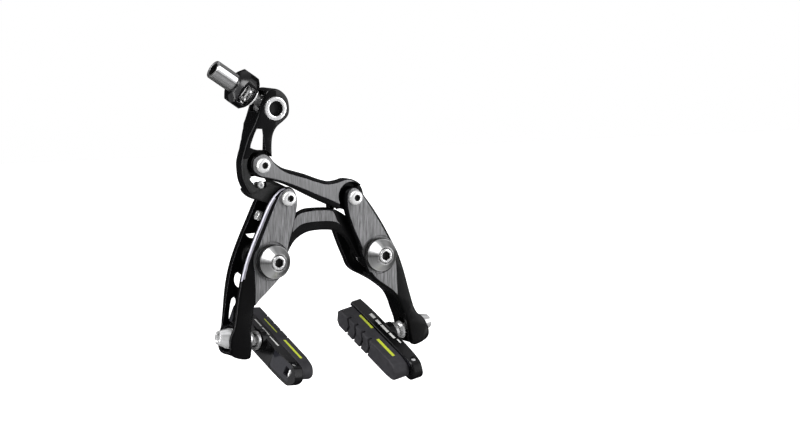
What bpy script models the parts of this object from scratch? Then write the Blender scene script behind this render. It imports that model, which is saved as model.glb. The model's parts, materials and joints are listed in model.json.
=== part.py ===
"""Rim brake caliper, direct-mount, dual-arm linkage type.

Frame of reference: X to the right when facing the front of the brake, Y to
the rear, Z up.  The origin lies on the left mounting face (the rear end of
the left spacer ring, Y = 0), on the line through both bolts and 6 mm inwards
of the left one.  Dimensions are in millimetres and are measured from the
middle of that line; the empty "brake_centre" carries everything to its place.

Outlines are lists of (x, z) points, unless a comment says otherwise.
"""
import math
from contextlib import contextmanager
from typing import NamedTuple

import bmesh
import bpy
from mathutils import Matrix, Vector

MM = 0.001

# ---------------------------------------------------------------- dimensions
BOLT_SPAN = 56.0                      # centre distance of the mounting bolts
ORIGIN_OFFSET = BOLT_SPAN / 2 - 6.0   # from the origin to the brake's middle
LEFT_MOUNT = (-BOLT_SPAN / 2, 0.0)    # pivots, as (x, z)
RIGHT_MOUNT = (BOLT_SPAN / 2, 0.0)
LEVER_PIVOT = (-19.4, 28.4)           # top of the left arm
ANCHOR_PIVOT = (15.0, 27.2)           # top of the right arm
LINK_PIVOT = (-32.3, 44.0)            # joins link and lever
SWIVEL = (-24.8, 69.3)                # top of the lever

GAP = 0.35                            # running clearance between neighbours
CLEAR_FRONT, CLEAR_REAR = -30, 5      # depths beyond the parts, for through cuts

ARM_REAR = -2.4                       # rear plate of the arms
ARM_REAR_INNER = -6.0
ARM_FRONT_INNER = -16.5               # front plate of the arms
ARM_BASE = -19.7                      # its front face
ARM_FACE = -20.5                      # raised facet on that face
BOLT_SEAT = ARM_FACE - GAP            # underside of the pivot bolt heads

SLEEVE_R = 4.0
SLEEVE_BORE_R = 3.25
MOUNT_BOLT_R = 2.9
PIVOT_BOLT_R = 2.2

STUD_Y = -13.2                        # depth of the pad studs


class Side(NamedTuple):
    name: str
    sign: int            # direction of its outside along X
    mount: tuple         # arm pivot (x, z)
    top: tuple           # pivot at the top of the arm (x, z)
    stud: tuple          # middle of the pad slot (x, z)
    tilt: float          # stud slope, outer end up
    washer_front: float  # front face of the seal washer, y

    @property
    def outward(self):
        return Vector((math.cos(self.tilt) * self.sign, 0, math.sin(self.tilt)))

    @property
    def stud_point(self):
        return Vector((self.stud[0], STUD_Y, self.stud[1]))

    @property
    def stud_frame(self):
        """At the slot's middle, local X along the stud."""
        return (Matrix.Translation(self.stud_point * MM)
                @ Matrix.Rotation(-self.tilt * self.sign, 4, 'Y'))


LEFT = Side("left", -1, LEFT_MOUNT, LEVER_PIVOT, (-42.6, -35.7),
            math.radians(7.5), -23.7)
RIGHT = Side("right", 1, RIGHT_MOUNT, ANCHOR_PIVOT, (49.2, -36.0),
             math.radians(12.0), -22.4)
SIDES = (LEFT, RIGHT)

# ---------------------------------------------------------------- the scene
for old in list(bpy.data.objects):
    bpy.data.objects.remove(old, do_unlink=True)

PARTS = bpy.data.collections.new("rim_brake_caliper")
CUTTERS = bpy.data.collections.new("cutters")
for collection in (PARTS, CUTTERS):
    bpy.context.scene.collection.children.link(collection)


# ---------------------------------------------------------------- materials
class Finish(NamedTuple):
    colour: tuple
    roughness: float
    metallic: float


ANODISED = Finish(colour=(0.012, 0.012, 0.014), roughness=0.28, metallic=0.85)
STEEL = Finish(colour=(0.62, 0.62, 0.64), roughness=0.22, metallic=1.0)
STOP_STEEL = Finish(colour=(0.62, 0.62, 0.62), roughness=0.25, metallic=1.0)
NUT_STEEL = Finish(colour=(0.72, 0.72, 0.73), roughness=0.2, metallic=1.0)
BLACK_STEEL = Finish(colour=(0.02, 0.02, 0.022), roughness=0.35, metallic=0.6)
CONE_POLISHED = Finish(colour=(0.75, 0.75, 0.76), roughness=0.15, metallic=1.0)
SILVER = Finish(colour=(0.78, 0.78, 0.80), roughness=0.18, metallic=1.0)
KNOB_BLACK = Finish(colour=(0.015, 0.015, 0.017), roughness=0.32, metallic=0.7)
HOLDER_BLACK = Finish(colour=(0.014, 0.014, 0.016), roughness=0.3, metallic=0.8)
RUBBER = Finish(colour=(0.045, 0.045, 0.05), roughness=0.65, metallic=0.0)


def material(name, finish):
    mat = bpy.data.materials.new(name)
    mat.use_nodes = True
    inputs = mat.node_tree.nodes["Principled BSDF"].inputs
    inputs["Base Color"].default_value = (*finish.colour, 1)
    inputs["Roughness"].default_value = finish.roughness
    inputs["Metallic"].default_value = finish.metallic
    return mat


# ---------------------------------------------------------------- objects
def make_object(name, mesh, mat=None):
    """A visible part, or, without a material, a helper for a boolean."""
    ob = bpy.data.objects.new(name, mesh)
    if mat is None:
        CUTTERS.objects.link(ob)
        ob.hide_render = True
        ob.display_type = 'WIRE'
    else:
        PARTS.objects.link(ob)
        mesh.materials.append(mat)
    return ob


def combine(ob, operation, *helpers):
    for helper in helpers:
        mod = ob.modifiers.new(operation.lower() + "_" + helper.name, 'BOOLEAN')
        mod.operation = operation
        mod.object = helper
        mod.solver = 'EXACT'


def cut(ob, *helpers):
    combine(ob, 'DIFFERENCE', *helpers)


def add(ob, *helpers):
    combine(ob, 'UNION', *helpers)


def sharp_shade(ob, degrees=30):
    ob.data.shade_smooth()
    ob.data.set_sharp_from_angle(angle=math.radians(degrees))


@contextmanager
def edit(mesh):
    bm = bmesh.new()
    bm.from_mesh(mesh)
    yield bm
    bm.to_mesh(mesh)
    bm.free()


# ---------------------------------------------------------------- placements
IDENTITY = Matrix.Identity(4)


def axis_matrix(position, axis):
    """Placement whose local Z lies along axis."""
    turn = Vector((0, 0, 1)).rotation_difference(Vector(axis))
    return Matrix.Translation(Vector(position) * MM) @ turn.to_matrix().to_4x4()


def y_frame(at):
    """Placement at (x, z) whose local Z runs to the rear, so height is y."""
    return (Matrix.Translation((at[0] * MM, 0, at[1] * MM))
            @ Matrix.Rotation(-math.pi / 2, 4, 'X'))


# ---------------------------------------------------------------- outlines
def hermite(start, end, start_slope, end_slope, n):
    """n points from start up to, but without, end."""
    points = []
    for j in range(n):
        t = j / n
        q = (start * (2 * t**3 - 3 * t**2 + 1) + start_slope * (t**3 - 2 * t**2 + t)
             + end * (-2 * t**3 + 3 * t**2) + end_slope * (t**3 - t**2))
        points.append((q.x, q.y))
    return points


def smooth(points, n):
    """Closed Catmull-Rom line; a point with a third value 's' stays sharp."""
    line = []
    count = len(points)
    for i in range(count):
        near = [points[(i + k) % count] for k in (-1, 0, 1, 2)]
        before, start, end, after = (Vector(p[:2]) for p in near)
        start_slope = (end - start) if len(near[1]) > 2 else (end - before) / 2
        end_slope = (end - start) if len(near[2]) > 2 else (after - start) / 2
        line += hermite(start, end, start_slope, end_slope, n)
    return line


def open_smooth(points, n=2):
    """Catmull-Rom line from the first point to the last."""
    line = []
    last = len(points) - 1
    for i in range(last):
        before, start, end, after = (
            Vector(points[min(max(i + k, 0), last)]) for k in (-1, 0, 1, 2))
        line += hermite(start, end, (end - before) / 2, (after - start) / 2, n)
    return line + [points[-1]]


def inset(line, distance):
    """Move a closed outline inwards by about the distance."""
    area = sum(line[i - 1][0] * line[i][1] - line[i][0] * line[i - 1][1]
               for i in range(len(line)))
    sign = 1 if area > 0 else -1
    moved = []
    for i in range(len(line)):
        before, here, after = (Vector(line[i - 1]), Vector(line[i]),
                               Vector(line[(i + 1) % len(line)]))
        along = ((here - before).normalized() + (after - here).normalized()).normalized()
        moved.append((here.x - sign * along.y * distance,
                      here.y + sign * along.x * distance))
    return moved


def drop_straight(line):
    """Leave out the points that lie on the line between their neighbours."""
    kept = []
    for i, point in enumerate(line):
        before = Vector(line[i - 1])
        chord = Vector(line[(i + 1) % len(line)]) - before
        arm = Vector(point) - before
        if abs(chord.x * arm.y - chord.y * arm.x) > 1e-4:
            kept.append(point)
    return kept


def circle(centre, r, n):
    return [(centre[0] + r * math.cos(2 * math.pi * i / n),
             centre[1] + r * math.sin(2 * math.pi * i / n)) for i in range(n)]


def lobed(r, depth, lobes, n, turn):
    """Circle with scallops of the given depth between its lobes."""
    points = []
    for i in range(n):
        t = 2 * math.pi * i / n
        radius = r - depth * (0.5 - 0.5 * math.cos(lobes * t))
        points.append((radius * math.cos(t + turn), radius * math.sin(t + turn)))
    return points


# ---------------------------------------------------------------- solids
def add_spline(curve, points, cyclic):
    spline = curve.splines.new('POLY')
    spline.points.add(len(points) - 1)
    for target, (x, y, z) in zip(spline.points, points):
        target.co = (x * MM, y * MM, z * MM, 1)
    spline.use_cyclic_u = cyclic


def object_from_curve(name, curve, mat, frame=IDENTITY, dissolve=False):
    temp = bpy.data.objects.new(name + "_curve", curve)
    bpy.context.scene.collection.objects.link(temp)
    temp.matrix_world = frame
    bpy.context.view_layer.update()
    depsgraph = bpy.context.evaluated_depsgraph_get()
    mesh = bpy.data.meshes.new_from_object(temp.evaluated_get(depsgraph))
    with edit(mesh) as bm:
        bmesh.ops.remove_doubles(bm, verts=bm.verts, dist=1e-6)
        if dissolve:
            bmesh.ops.dissolve_limit(bm, angle_limit=0.002, verts=bm.verts,
                                     edges=bm.edges)
        bmesh.ops.recalc_face_normals(bm, faces=bm.faces)
    mesh.name = name
    ob = make_object(name, mesh, mat)
    ob.matrix_world = temp.matrix_world
    bpy.data.objects.remove(temp, do_unlink=True)
    return ob


def plate(name, line, y0, y1, mat=None, frame=IDENTITY, holes=()):
    """Flat shape in the XZ plane of the frame, between depths y0 and y1."""
    curve = bpy.data.curves.new(name + "_outline", 'CURVE')
    curve.dimensions = '2D'
    curve.fill_mode = 'BOTH'
    curve.extrude = abs(y1 - y0) / 2 * MM
    for outline in (line, *holes):
        add_spline(curve, [(x, z, 0) for x, z in outline], True)
    upright = (Matrix.Translation((0, (y0 + y1) / 2 * MM, 0))
               @ Matrix.Rotation(math.pi / 2, 4, 'X'))
    return object_from_curve(name, curve, mat, frame @ upright, dissolve=True)


def side_cut(name, line):
    """Cutter drawn as (y, z) points, right through the part in X."""
    return plate(name, line, -80, 80, frame=Matrix.Rotation(math.pi / 2, 4, 'Z'))


def rod(name, r, start, end, n=24, frame=IDENTITY):
    """Cylindrical helper between two points."""
    a, b = Vector(start), Vector(end)
    mesh = bpy.data.meshes.new(name)
    with edit(mesh) as bm:
        bmesh.ops.create_cone(bm, cap_ends=True, segments=n, radius1=r * MM,
                              radius2=r * MM, depth=(b - a).length * MM)
    ob = make_object(name, mesh)
    ob.matrix_world = frame @ axis_matrix((a + b) / 2, b - a)
    return ob


def y_rod(name, r, at, y0=CLEAR_FRONT, y1=CLEAR_REAR, n=24):
    """Cylindrical helper along Y at (x, z)."""
    return rod(name, r, (at[0], y0, at[1]), (at[0], y1, at[1]), n)


def box(name, low, high, frame):
    """Block-shaped helper."""
    a, b = Vector(low), Vector(high)
    mesh = bpy.data.meshes.new(name)
    with edit(mesh) as bm:
        bmesh.ops.create_cube(bm, size=1.0)
        bmesh.ops.scale(bm, vec=(b - a) * MM, verts=bm.verts)
        bmesh.ops.translate(bm, vec=(a + b) / 2 * MM, verts=bm.verts)
    ob = make_object(name, mesh)
    ob.matrix_world = frame
    return ob


def turned(name, profile, frame, n, mat=None, ring=False):
    """Screw a profile of (radius, height) pairs round the frame's Z.

    A ring's profile is a closed loop.
    """
    mesh = bpy.data.meshes.new(name)
    edges = [(i, i + 1) for i in range(len(profile) - 1)]
    if ring:
        edges.append((len(profile) - 1, 0))
    mesh.from_pydata([(r * MM, 0, h * MM) for r, h in profile], edges, [])
    ob = make_object(name, mesh, mat)
    mod = ob.modifiers.new("screw", 'SCREW')
    mod.axis = 'Z'
    mod.steps = n
    mod.render_steps = n
    mod.use_merge_vertices = True
    mod.merge_threshold = 1e-6
    mod.use_smooth_shade = True
    ob.matrix_world = frame
    return ob


def helix(origin, across, up, axis, r, start, end, turns, phase=0.0, hand=1):
    """Points of a coil, ten to a turn, from start to end along the axis."""
    n = int(turns * 10)
    points = []
    for i in range(n + 1):
        t = phase + hand * 2 * math.pi * turns * i / n
        centre = Vector(origin) + Vector(axis) * (start + (end - start) * i / n)
        points.append(centre + Vector(across) * (r * math.cos(t))
                      + Vector(up) * (r * math.sin(t)))
    return points


def wire(name, points, r, mat):
    curve = bpy.data.curves.new(name + "_path", 'CURVE')
    curve.dimensions = '3D'
    curve.bevel_depth = r * MM
    curve.bevel_resolution = 1
    curve.use_fill_caps = True
    add_spline(curve, points, False)
    ob = object_from_curve(name, curve, mat)
    ob.data.shade_smooth()


# ---------------------------------------------------------------- arms
LEFT_OUT = [
    (-19.2, 33.5), (-22.5, 32.6), (-25.6, 30.2), (-28.9, 25.6), (-32.4, 18.2),
    (-35.4, 12.0), (-38.2, 5.7), (-40.4, 0.0), (-41.9, -5.0), (-43.0, -10.0),
    (-44.3, -17.2), (-45.4, -25.0), (-46.4, -30.0), (-48.2, -34.0),
    (-48.3, -40.0), (-46.2, -43.2), (-41.0, -44.6), (-38.0, -43.6),
    (-37.4, -39.0), (-37.9, -32.0), (-37.0, -25.5), (-36.3, -20.6),
    (-34.0, -17.6), (-29.9, -14.3), (-23.7, -8.6), (-20.5, -5.0), (-19.0, 0.0),
    (-18.9, 5.5), (-16.6, 13.7), (-15.0, 20.5), (-14.2, 27.0), (-15.3, 31.0),
    (-17.1, 32.9)]
LEFT_FACET = [
    (-19.2, 32.8), (-22.1, 31.5), (-24.5, 28.4), (-27.6, 21.8), (-31.0, 14.2),
    (-33.8, 7.6), (-35.7, 1.5), (-36.4, -4.0), (-36.1, -12.0),
    (-36.2, -19.8, 's'), (-33.7, -17.1), (-29.8, -13.7), (-24.0, -8.2),
    (-21.2, -4.8), (-19.8, 0.0), (-19.7, 5.5), (-17.4, 13.7), (-15.8, 20.5),
    (-15.0, 27.0), (-16.0, 30.6), (-17.4, 32.2)]
LEFT_REAR_WINDOWS = [
    [(-33.8, 11.3, 's'), (-32.0, 9.6), (-28.0, 8.9), (-24.0, 9.6),
     (-21.5, 11.3, 's'), (-25.0, 11.6), (-29.0, 11.5)],
    [(-39.2, -7.0), (-37.4, -6.2), (-34.0, -8.6), (-31.5, -11.0),
     (-33.0, -12.6), (-36.5, -13.6), (-39.0, -12.0), (-39.8, -9.5)],
    [(-41.0, -18.0), (-38.6, -18.2), (-38.3, -21.0), (-39.6, -28.0),
     (-42.4, -28.2), (-42.2, -23.0)]]
# inner wall of the lower leg and the block that carries the pad
LEFT_LEG = [
    (-36.7, -20.8), (-34.6, -17.8), (-31.8, -15.4), (-33.2, -14.4),
    (-36.8, -17.4), (-39.3, -22.0), (-40.6, -29.0), (-46.0, -30.6),
    (-47.9, -34.2), (-48.0, -39.8), (-46.0, -42.9), (-41.1, -44.3),
    (-38.4, -43.3), (-37.8, -39.0), (-38.3, -32.0), (-37.4, -25.5)]

RIGHT_OUT = [
    (14.8, 32.2), (17.9, 31.0), (20.7, 27.6), (25.9, 20.9), (31.1, 13.1),
    (35.0, 6.4), (38.5, 0.1), (41.8, -8.6), (44.7, -18.2), (48.0, -27.4),
    (52.6, -31.6), (55.3, -37.0), (54.6, -41.0), (49.0, -43.9), (45.9, -43.0),
    (44.6, -38.0), (43.2, -32.0), (40.6, -26.0), (38.3, -21.2), (35.2, -18.1),
    (30.4, -14.9), (26.0, -11.7), (23.2, -8.2), (21.0, -3.6), (19.2, 1.0),
    (17.2, 6.2), (13.9, 13.0), (11.3, 19.5), (9.9, 25.5), (10.2, 29.2),
    (12.1, 31.4)]
RIGHT_REAR = [
    (14.8, 32.7), (18.0, 31.2), (20.7, 27.6), (25.9, 20.9), (31.1, 13.1),
    (35.0, 6.4), (38.5, 0.1), (41.8, -8.6), (44.7, -18.2), (48.0, -27.4),
    (52.6, -31.6), (55.3, -37.0), (54.6, -41.0), (49.0, -43.9), (45.9, -43.0),
    (44.6, -38.0), (43.3, -32.0), (41.8, -25.8), (38.8, -19.6), (33.1, -14.9),
    (27.8, -11.8), (22.4, -9.1), (19.5, -6.6), (17.6, -2.6), (14.9, 3.2),
    (12.3, 9.5), (9.9, 16.0), (9.1, 21.0), (9.1, 27.0), (10.6, 31.0)]
RIGHT_FACET = [
    (14.9, 31.6), (17.5, 30.2), (19.9, 27.0), (24.9, 19.9), (30.0, 12.2),
    (33.2, 6.2), (35.6, 0.6), (36.9, -4.0), (37.4, -11.0), (37.9, -19.6, 's'),
    (35.1, -17.0), (30.4, -13.8), (26.3, -10.8), (23.9, -7.6), (21.8, -3.4),
    (20.0, 1.2), (18.1, 6.0), (14.8, 12.8), (12.3, 19.5), (11.3, 25.5),
    (11.6, 28.8), (12.9, 30.9)]
RIGHT_REAR_WINDOWS = [
    [(12.2, 18.2), (11.7, 20.6), (14.0, 21.6), (18.6, 20.2), (22.4, 16.2),
     (24.0, 12.6), (20.6, 11.0), (15.2, 12.2)],
    [(31.4, -10.2), (34.5, -8.4), (39.6, -10.6), (41.2, -15.5),
     (40.0, -17.0), (35.6, -14.0)]]
RIGHT_LEG = [
    (41.7, -25.6), (39.0, -19.4), (33.4, -14.6), (28.0, -11.4), (28.0, -9.6),
    (34.6, -12.1), (40.8, -17.6), (44.4, -25.0), (48.6, -28.7), (52.3, -31.9),
    (54.9, -37.0), (54.2, -40.7), (49.1, -43.5), (46.3, -42.6), (45.0, -38.0),
    (43.7, -32.0)]
# (y, z) region behind the leg
REAR_SLOPE = [(-2.2, -6.0), (-4.4, -28.0), (-5.8, -32.0), (-5.8, -60.0),
              (8.0, -60.0), (8.0, -6.0)]
SPOT_R = 9.0             # relief round the mount bolt
SLOT_R = 3.0
SLOT_HALF = 3.2          # from the slot's middle to its end arcs


def slot_outline():
    """Upright slot with round ends."""
    points = []
    for i in range(16):
        # the small turn keeps the sine off zero, where the ends divide
        a = 2 * math.pi * i / 16 + 0.001
        shift = SLOT_HALF if math.sin(a) >= 0 else -SLOT_HALF
        points.append((SLOT_R * math.cos(a), SLOT_R * math.sin(a) + shift))
    return points


def build_arm(side, front, rear, windows, facet, leg):
    name = side.name + "_arm"
    arm = plate(name, smooth(front, 2), ARM_BASE, ARM_FRONT_INNER,
                material(name + "_anodised", ANODISED))
    add(arm,
        plate(name + "_facet", smooth(facet, 2), ARM_FACE, ARM_BASE + 0.9),
        plate(name + "_rear_plate", inset(smooth(rear, 1), 0.15),
              ARM_REAR_INNER, ARM_REAR,
              holes=[smooth(w, 1)[::-1] for w in windows]),
        plate(name + "_leg", smooth(leg, 1), ARM_BASE + 1.3, ARM_REAR - 1.4))
    cut(arm,
        # round relief under the mounting washers
        y_rod(name + "_spot", SPOT_R, side.mount, ARM_FACE - 2, ARM_BASE, n=28),
        y_rod(name + "_bore", SLEEVE_R + GAP, side.mount),
        y_rod(name + "_top_bore", PIVOT_BOLT_R + GAP, side.top, n=16),
        # the rear of the leg slopes forward towards the pad block
        side_cut(name + "_rear_slope", REAR_SLOPE),
        # slot for the pad stud
        plate(name + "_slot", slot_outline(), -15, 15,
              frame=side.stud_frame @ Matrix.Rotation(math.pi / 2, 4, 'Z')))
    sharp_shade(arm)


# ---------------------------------------------------------------- bridge
# One half of the arch, from the crown to the eye round the mount bolt.
ARCH_TOP = [(0.0, 22.6), (4.0, 22.5), (7.6, 21.5), (11.6, 19.4), (17.0, 15.4),
            (22.0, 11.0), (26.0, 7.6)]
ARCH_LOW = [(0.0, 12.4), (4.0, 12.2), (6.9, 11.7), (9.7, 10.6), (12.8, 8.6),
            (14.9, 6.2), (17.0, 2.6), (19.4, -1.6)]
EYE_R = 7.6
EYE_FROM, EYE_TO = 75, -165   # ends of the eye's arc, degrees
EYE_STEPS = 14
CROWN = [(0, 22.2), (6.0, 21.8), (10.0, 19.6), (11.6, 17.0), (10.4, 13.0),
         (7.0, 12.2), (0, 12.9), (-7.0, 12.2), (-10.4, 13.0), (-11.6, 17.0),
         (-10.0, 19.6), (-6.0, 21.8)]
BRIDGE_FACET = [
    (0.0, 21.6), (-5.0, 21.5), (-9.6, 20.9), (-12.6, 19.6), (-14.6, 16.2),
    (-15.0, 12.0, 's'), (-12.8, 14.0), (-10.0, 15.6), (-6.0, 16.3), (0.0, 16.5),
    (4.4, 16.3), (7.4, 15.7), (10.6, 14.2, 's'), (8.2, 16.4), (7.0, 19.2),
    (5.2, 21.1)]


def bridge_outline():
    eye = []
    for i in range(EYE_STEPS + 1):
        angle = math.radians(EYE_FROM + (EYE_TO - EYE_FROM) * i / EYE_STEPS)
        eye.append((RIGHT_MOUNT[0] + EYE_R * math.cos(angle),
                    EYE_R * math.sin(angle)))
    right_half = open_smooth(ARCH_TOP) + eye + open_smooth(ARCH_LOW)[::-1]
    left_half = [(-x, z) for x, z in right_half if x > 0.01][::-1]
    return right_half + left_half


def build_bridge():
    bridge = plate("bridge", bridge_outline(), -15.4, -11.4,
                   material("bridge_anodised", ANODISED))
    add(bridge,
        plate("bridge_crown", smooth(CROWN, 2), -13.0, -7.2),
        plate("bridge_facet", smooth(BRIDGE_FACET, 2), -16.1, -14.9))
    for side in SIDES:
        cut(bridge, y_rod(side.name + "_eye_bore", SLEEVE_R + GAP, side.mount))
    sharp_shade(bridge)


# ---------------------------------------------------------------- mounting
WASHER_BACK = -20.2      # rear face of the seal washers
CONE_H = 3.9             # cone washer, rear face to tip
CONE_SEAT = 1.4          # depth of the step the bolt head rests on
CONE_BORE_R = 3.65


def build_mounting(side):
    """Sleeve, spacer, washers and bolt at one mount; profiles are (radius, y)."""
    frame = y_frame(side.mount)
    front = side.washer_front
    base = front - GAP
    tip = base - CONE_H
    head = tip - 0.5

    def ring(part, profile, n, mat_name, finish):
        turned(side.name + part, profile, frame, n,
               material(side.name + mat_name, finish), ring=True)

    # sleeve the arm turns on
    ring("_pivot_sleeve",
         [(SLEEVE_BORE_R, 0), (SLEEVE_R, 0), (SLEEVE_R, WASHER_BACK + GAP),
          (SLEEVE_BORE_R, WASHER_BACK + GAP)],
         24, "_sleeve_steel", STEEL)
    ring("_rear_spacer",
         [(SLEEVE_R + GAP, 0), (7.8, 0), (8.2, -0.4), (8.2, -1.6),
          (7.8, -2.0), (SLEEVE_R + GAP, -2.0)],
         20, "_spacer_black", BLACK_STEEL)
    ring("_seal_washer",
         [(3.5, WASHER_BACK), (7.6, WASHER_BACK), (7.9, WASHER_BACK - 0.3),
          (7.9, front + 0.3), (7.6, front), (3.5, front)],
         24, "_washer_black", BLACK_STEEL)
    ring("_cone_washer",
         [(SLEEVE_BORE_R, base), (7.4, base), (7.6, base - 0.3),
          (4.15, tip + 0.1), (3.95, tip), (CONE_BORE_R, tip),
          (CONE_BORE_R, base - CONE_SEAT), (SLEEVE_BORE_R, base - CONE_SEAT)],
         28, "_cone_polished", CONE_POLISHED)

    under_head = base - CONE_SEAT - GAP
    bolt = turned(side.name + "_mount_bolt",
                  [(0, 11.0), (2.5, 11.0), (MOUNT_BOLT_R, 10.5),
                   (MOUNT_BOLT_R, under_head), (3.3, under_head),
                   (3.3, head + 0.3), (3.0, head), (0, head)],
                  frame, 24, material(side.name + "_bolt_steel", STEEL))
    cut(bolt, y_rod(side.name + "_bolt_socket", 2.3, side.mount,
                    head - 1, head + 2.2, n=6))


def build_pivot_bolt(name, at, y_end):
    """Domed bolt with its head in front; profile is (radius, y)."""
    seat = BOLT_SEAT
    bolt = turned(name,
                  [(0, y_end), (1.9, y_end), (PIVOT_BOLT_R, y_end - 0.3),
                   (PIVOT_BOLT_R, seat), (3.5, seat), (3.5, seat - 0.7),
                   (3.1, seat - 1.6), (2.3, seat - 2.2), (0, seat - 2.3)],
                  y_frame(at), 18, material(name + "_steel", STEEL))
    cut(bolt, y_rod(name + "_socket", 1.35, at, seat - 4, seat - 1.0, n=6))


# ---------------------------------------------------------------- barrel axis
BARREL_TILT = math.radians(33.0)      # above the horizontal
BARREL_Y = -12.0
BARREL_DIR = Vector((-math.cos(BARREL_TILT), 0, math.sin(BARREL_TILT)))
BARREL_START = Vector((SWIVEL[0], BARREL_Y, SWIVEL[1]))   # on the swivel axis
BARREL_FRAME = axis_matrix(BARREL_START, BARREL_DIR)


def on_barrel(distance):
    return BARREL_START + BARREL_DIR * distance


# ---------------------------------------------------------------- lever
LEVER_FRONT = -18.5
LEVER_BACK = -12.0
LEVER_TOP_BACK = -5.5
FOOT_FRONT = -15.9
FOOT_BACK = -9.2
LEVER_OUT = [
    (-17.5, 69.0), (-18.4, 73.6), (-21.3, 77.0), (-25.2, 78.4), (-28.6, 77.4),
    (-30.7, 73.6), (-32.3, 69.6), (-34.6, 63.2), (-38.2, 56.6), (-40.2, 50.8),
    (-41.6, 46.0), (-41.6, 42.0), (-40.8, 37.0), (-38.6, 32.6), (-36.2, 30.6),
    (-31.8, 32.6), (-27.7, 34.2), (-23.6, 36.2), (-25.2, 41.0), (-26.0, 46.0),
    (-26.5, 51.0), (-26.0, 57.0), (-24.0, 60.8), (-20.6, 63.4), (-18.2, 65.8)]
# (y, z) region behind the lever
LEVER_BACK_SLOPE = [(LEVER_TOP_BACK + 0.4, 63.6), (-8.4, 60.0), (-11.2, 55.6),
                    (LEVER_BACK, 51.0), (LEVER_BACK, 20.0), (4.0, 20.0),
                    (4.0, 63.6)]
LEVER_FOOT = [
    (-14.8, 28.4), (-15.8, 31.8), (-19.4, 33.9), (-24.0, 36.0), (-28.4, 37.4),
    (-31.6, 37.4), (-34.0, 35.6), (-34.6, 33.4), (-38.4, 33.0), (-37.6, 30.9),
    (-34.6, 28.6), (-29.0, 26.6), (-23.4, 24.6), (-19.4, 23.6), (-15.8, 25.2)]
# upper window, straight and slanting
LEVER_WINDOW = [(-33.4, 61.4), (-31.6, 60.0), (-30.4, 54.6), (-30.4, 50.6),
                (-34.2, 50.9), (-37.3, 52.2), (-36.6, 55.2), (-35.0, 59.0)]
LEVER_WINDOW_SLANT = [(-33.8, 60.6), (-31.7, 60.4), (-31.3, 57.5),
                      (-31.5, 50.8), (-34.7, 51.0), (-37.6, 52.0),
                      (-35.7, 56.3)]
# lower window, in three cuts
LEVER_WINDOW_2 = [(-37.6, 38.2), (-34.0, 36.2), (-30.0, 36.9), (-30.2, 34.8),
                  (-33.4, 33.6), (-36.8, 34.8)]
LEVER_WINDOW_3 = [(-37.4, 38.0), (-35.4, 35.8), (-34.6, 38.0), (-33.4, 39.6),
                  (-37.0, 39.6)]
LEVER_WINDOW_4 = [(-37.2, 38.4), (-34.8, 38.8), (-31.0, 38.7), (-29.8, 36.6),
                  (-32.2, 35.8), (-34.5, 35.5), (-36.0, 35.2)]
LINK_RELIEF = [(-32.3, 50.8), (-27.4, 47.6), (-20.0, 45.6), (-16.0, 36.0),
               (-21.0, 33.4), (-26.0, 35.1), (-32.4, 37.2)]
LINK_RELIEF_BACK = -14.9
FOOT_STEP = [(-12.0, 20.0), (-12.0, 34.0), (-22.5, 36.9), (-36.2, 30.5),
             (-38.0, 20.0)]
# corners from the swivel axis, opening up and to the left
BARREL_WINDOW = [(0, 4.2), (-20, 25.0), (-26, 5.4), (-2.0, -3.8)]
WIRE_EXIT_ANGLE = 0.75                # below the horizontal, radians
WIRE_EXIT_LENGTH = 14
STOP = (-31.6, 34.8)                  # stop screw, (x, z)
SLANT_X, SLANT_Z = 0.495, -0.1        # sideways drift per mm of depth


def slanted(name, line, y0, y1):
    """Prism whose outline drifts sideways with depth, for slanting windows.

    The line is given at depth LEVER_FRONT.
    """
    points = []
    for y in (y0, y1):
        depth = y - LEVER_FRONT
        points += [((x + SLANT_X * depth) * MM, y * MM, (z + SLANT_Z * depth) * MM)
                   for x, z in line]
    n = len(line)
    faces = [list(range(n)), list(range(2 * n - 1, n - 1, -1))]
    faces += [[(i + 1) % n, i, n + i, n + (i + 1) % n] for i in range(n)]
    mesh = bpy.data.meshes.new(name)
    mesh.from_pydata(points, [], faces)
    with edit(mesh) as bm:
        bmesh.ops.recalc_face_normals(bm, faces=bm.faces)
    return make_object(name, mesh)


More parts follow.
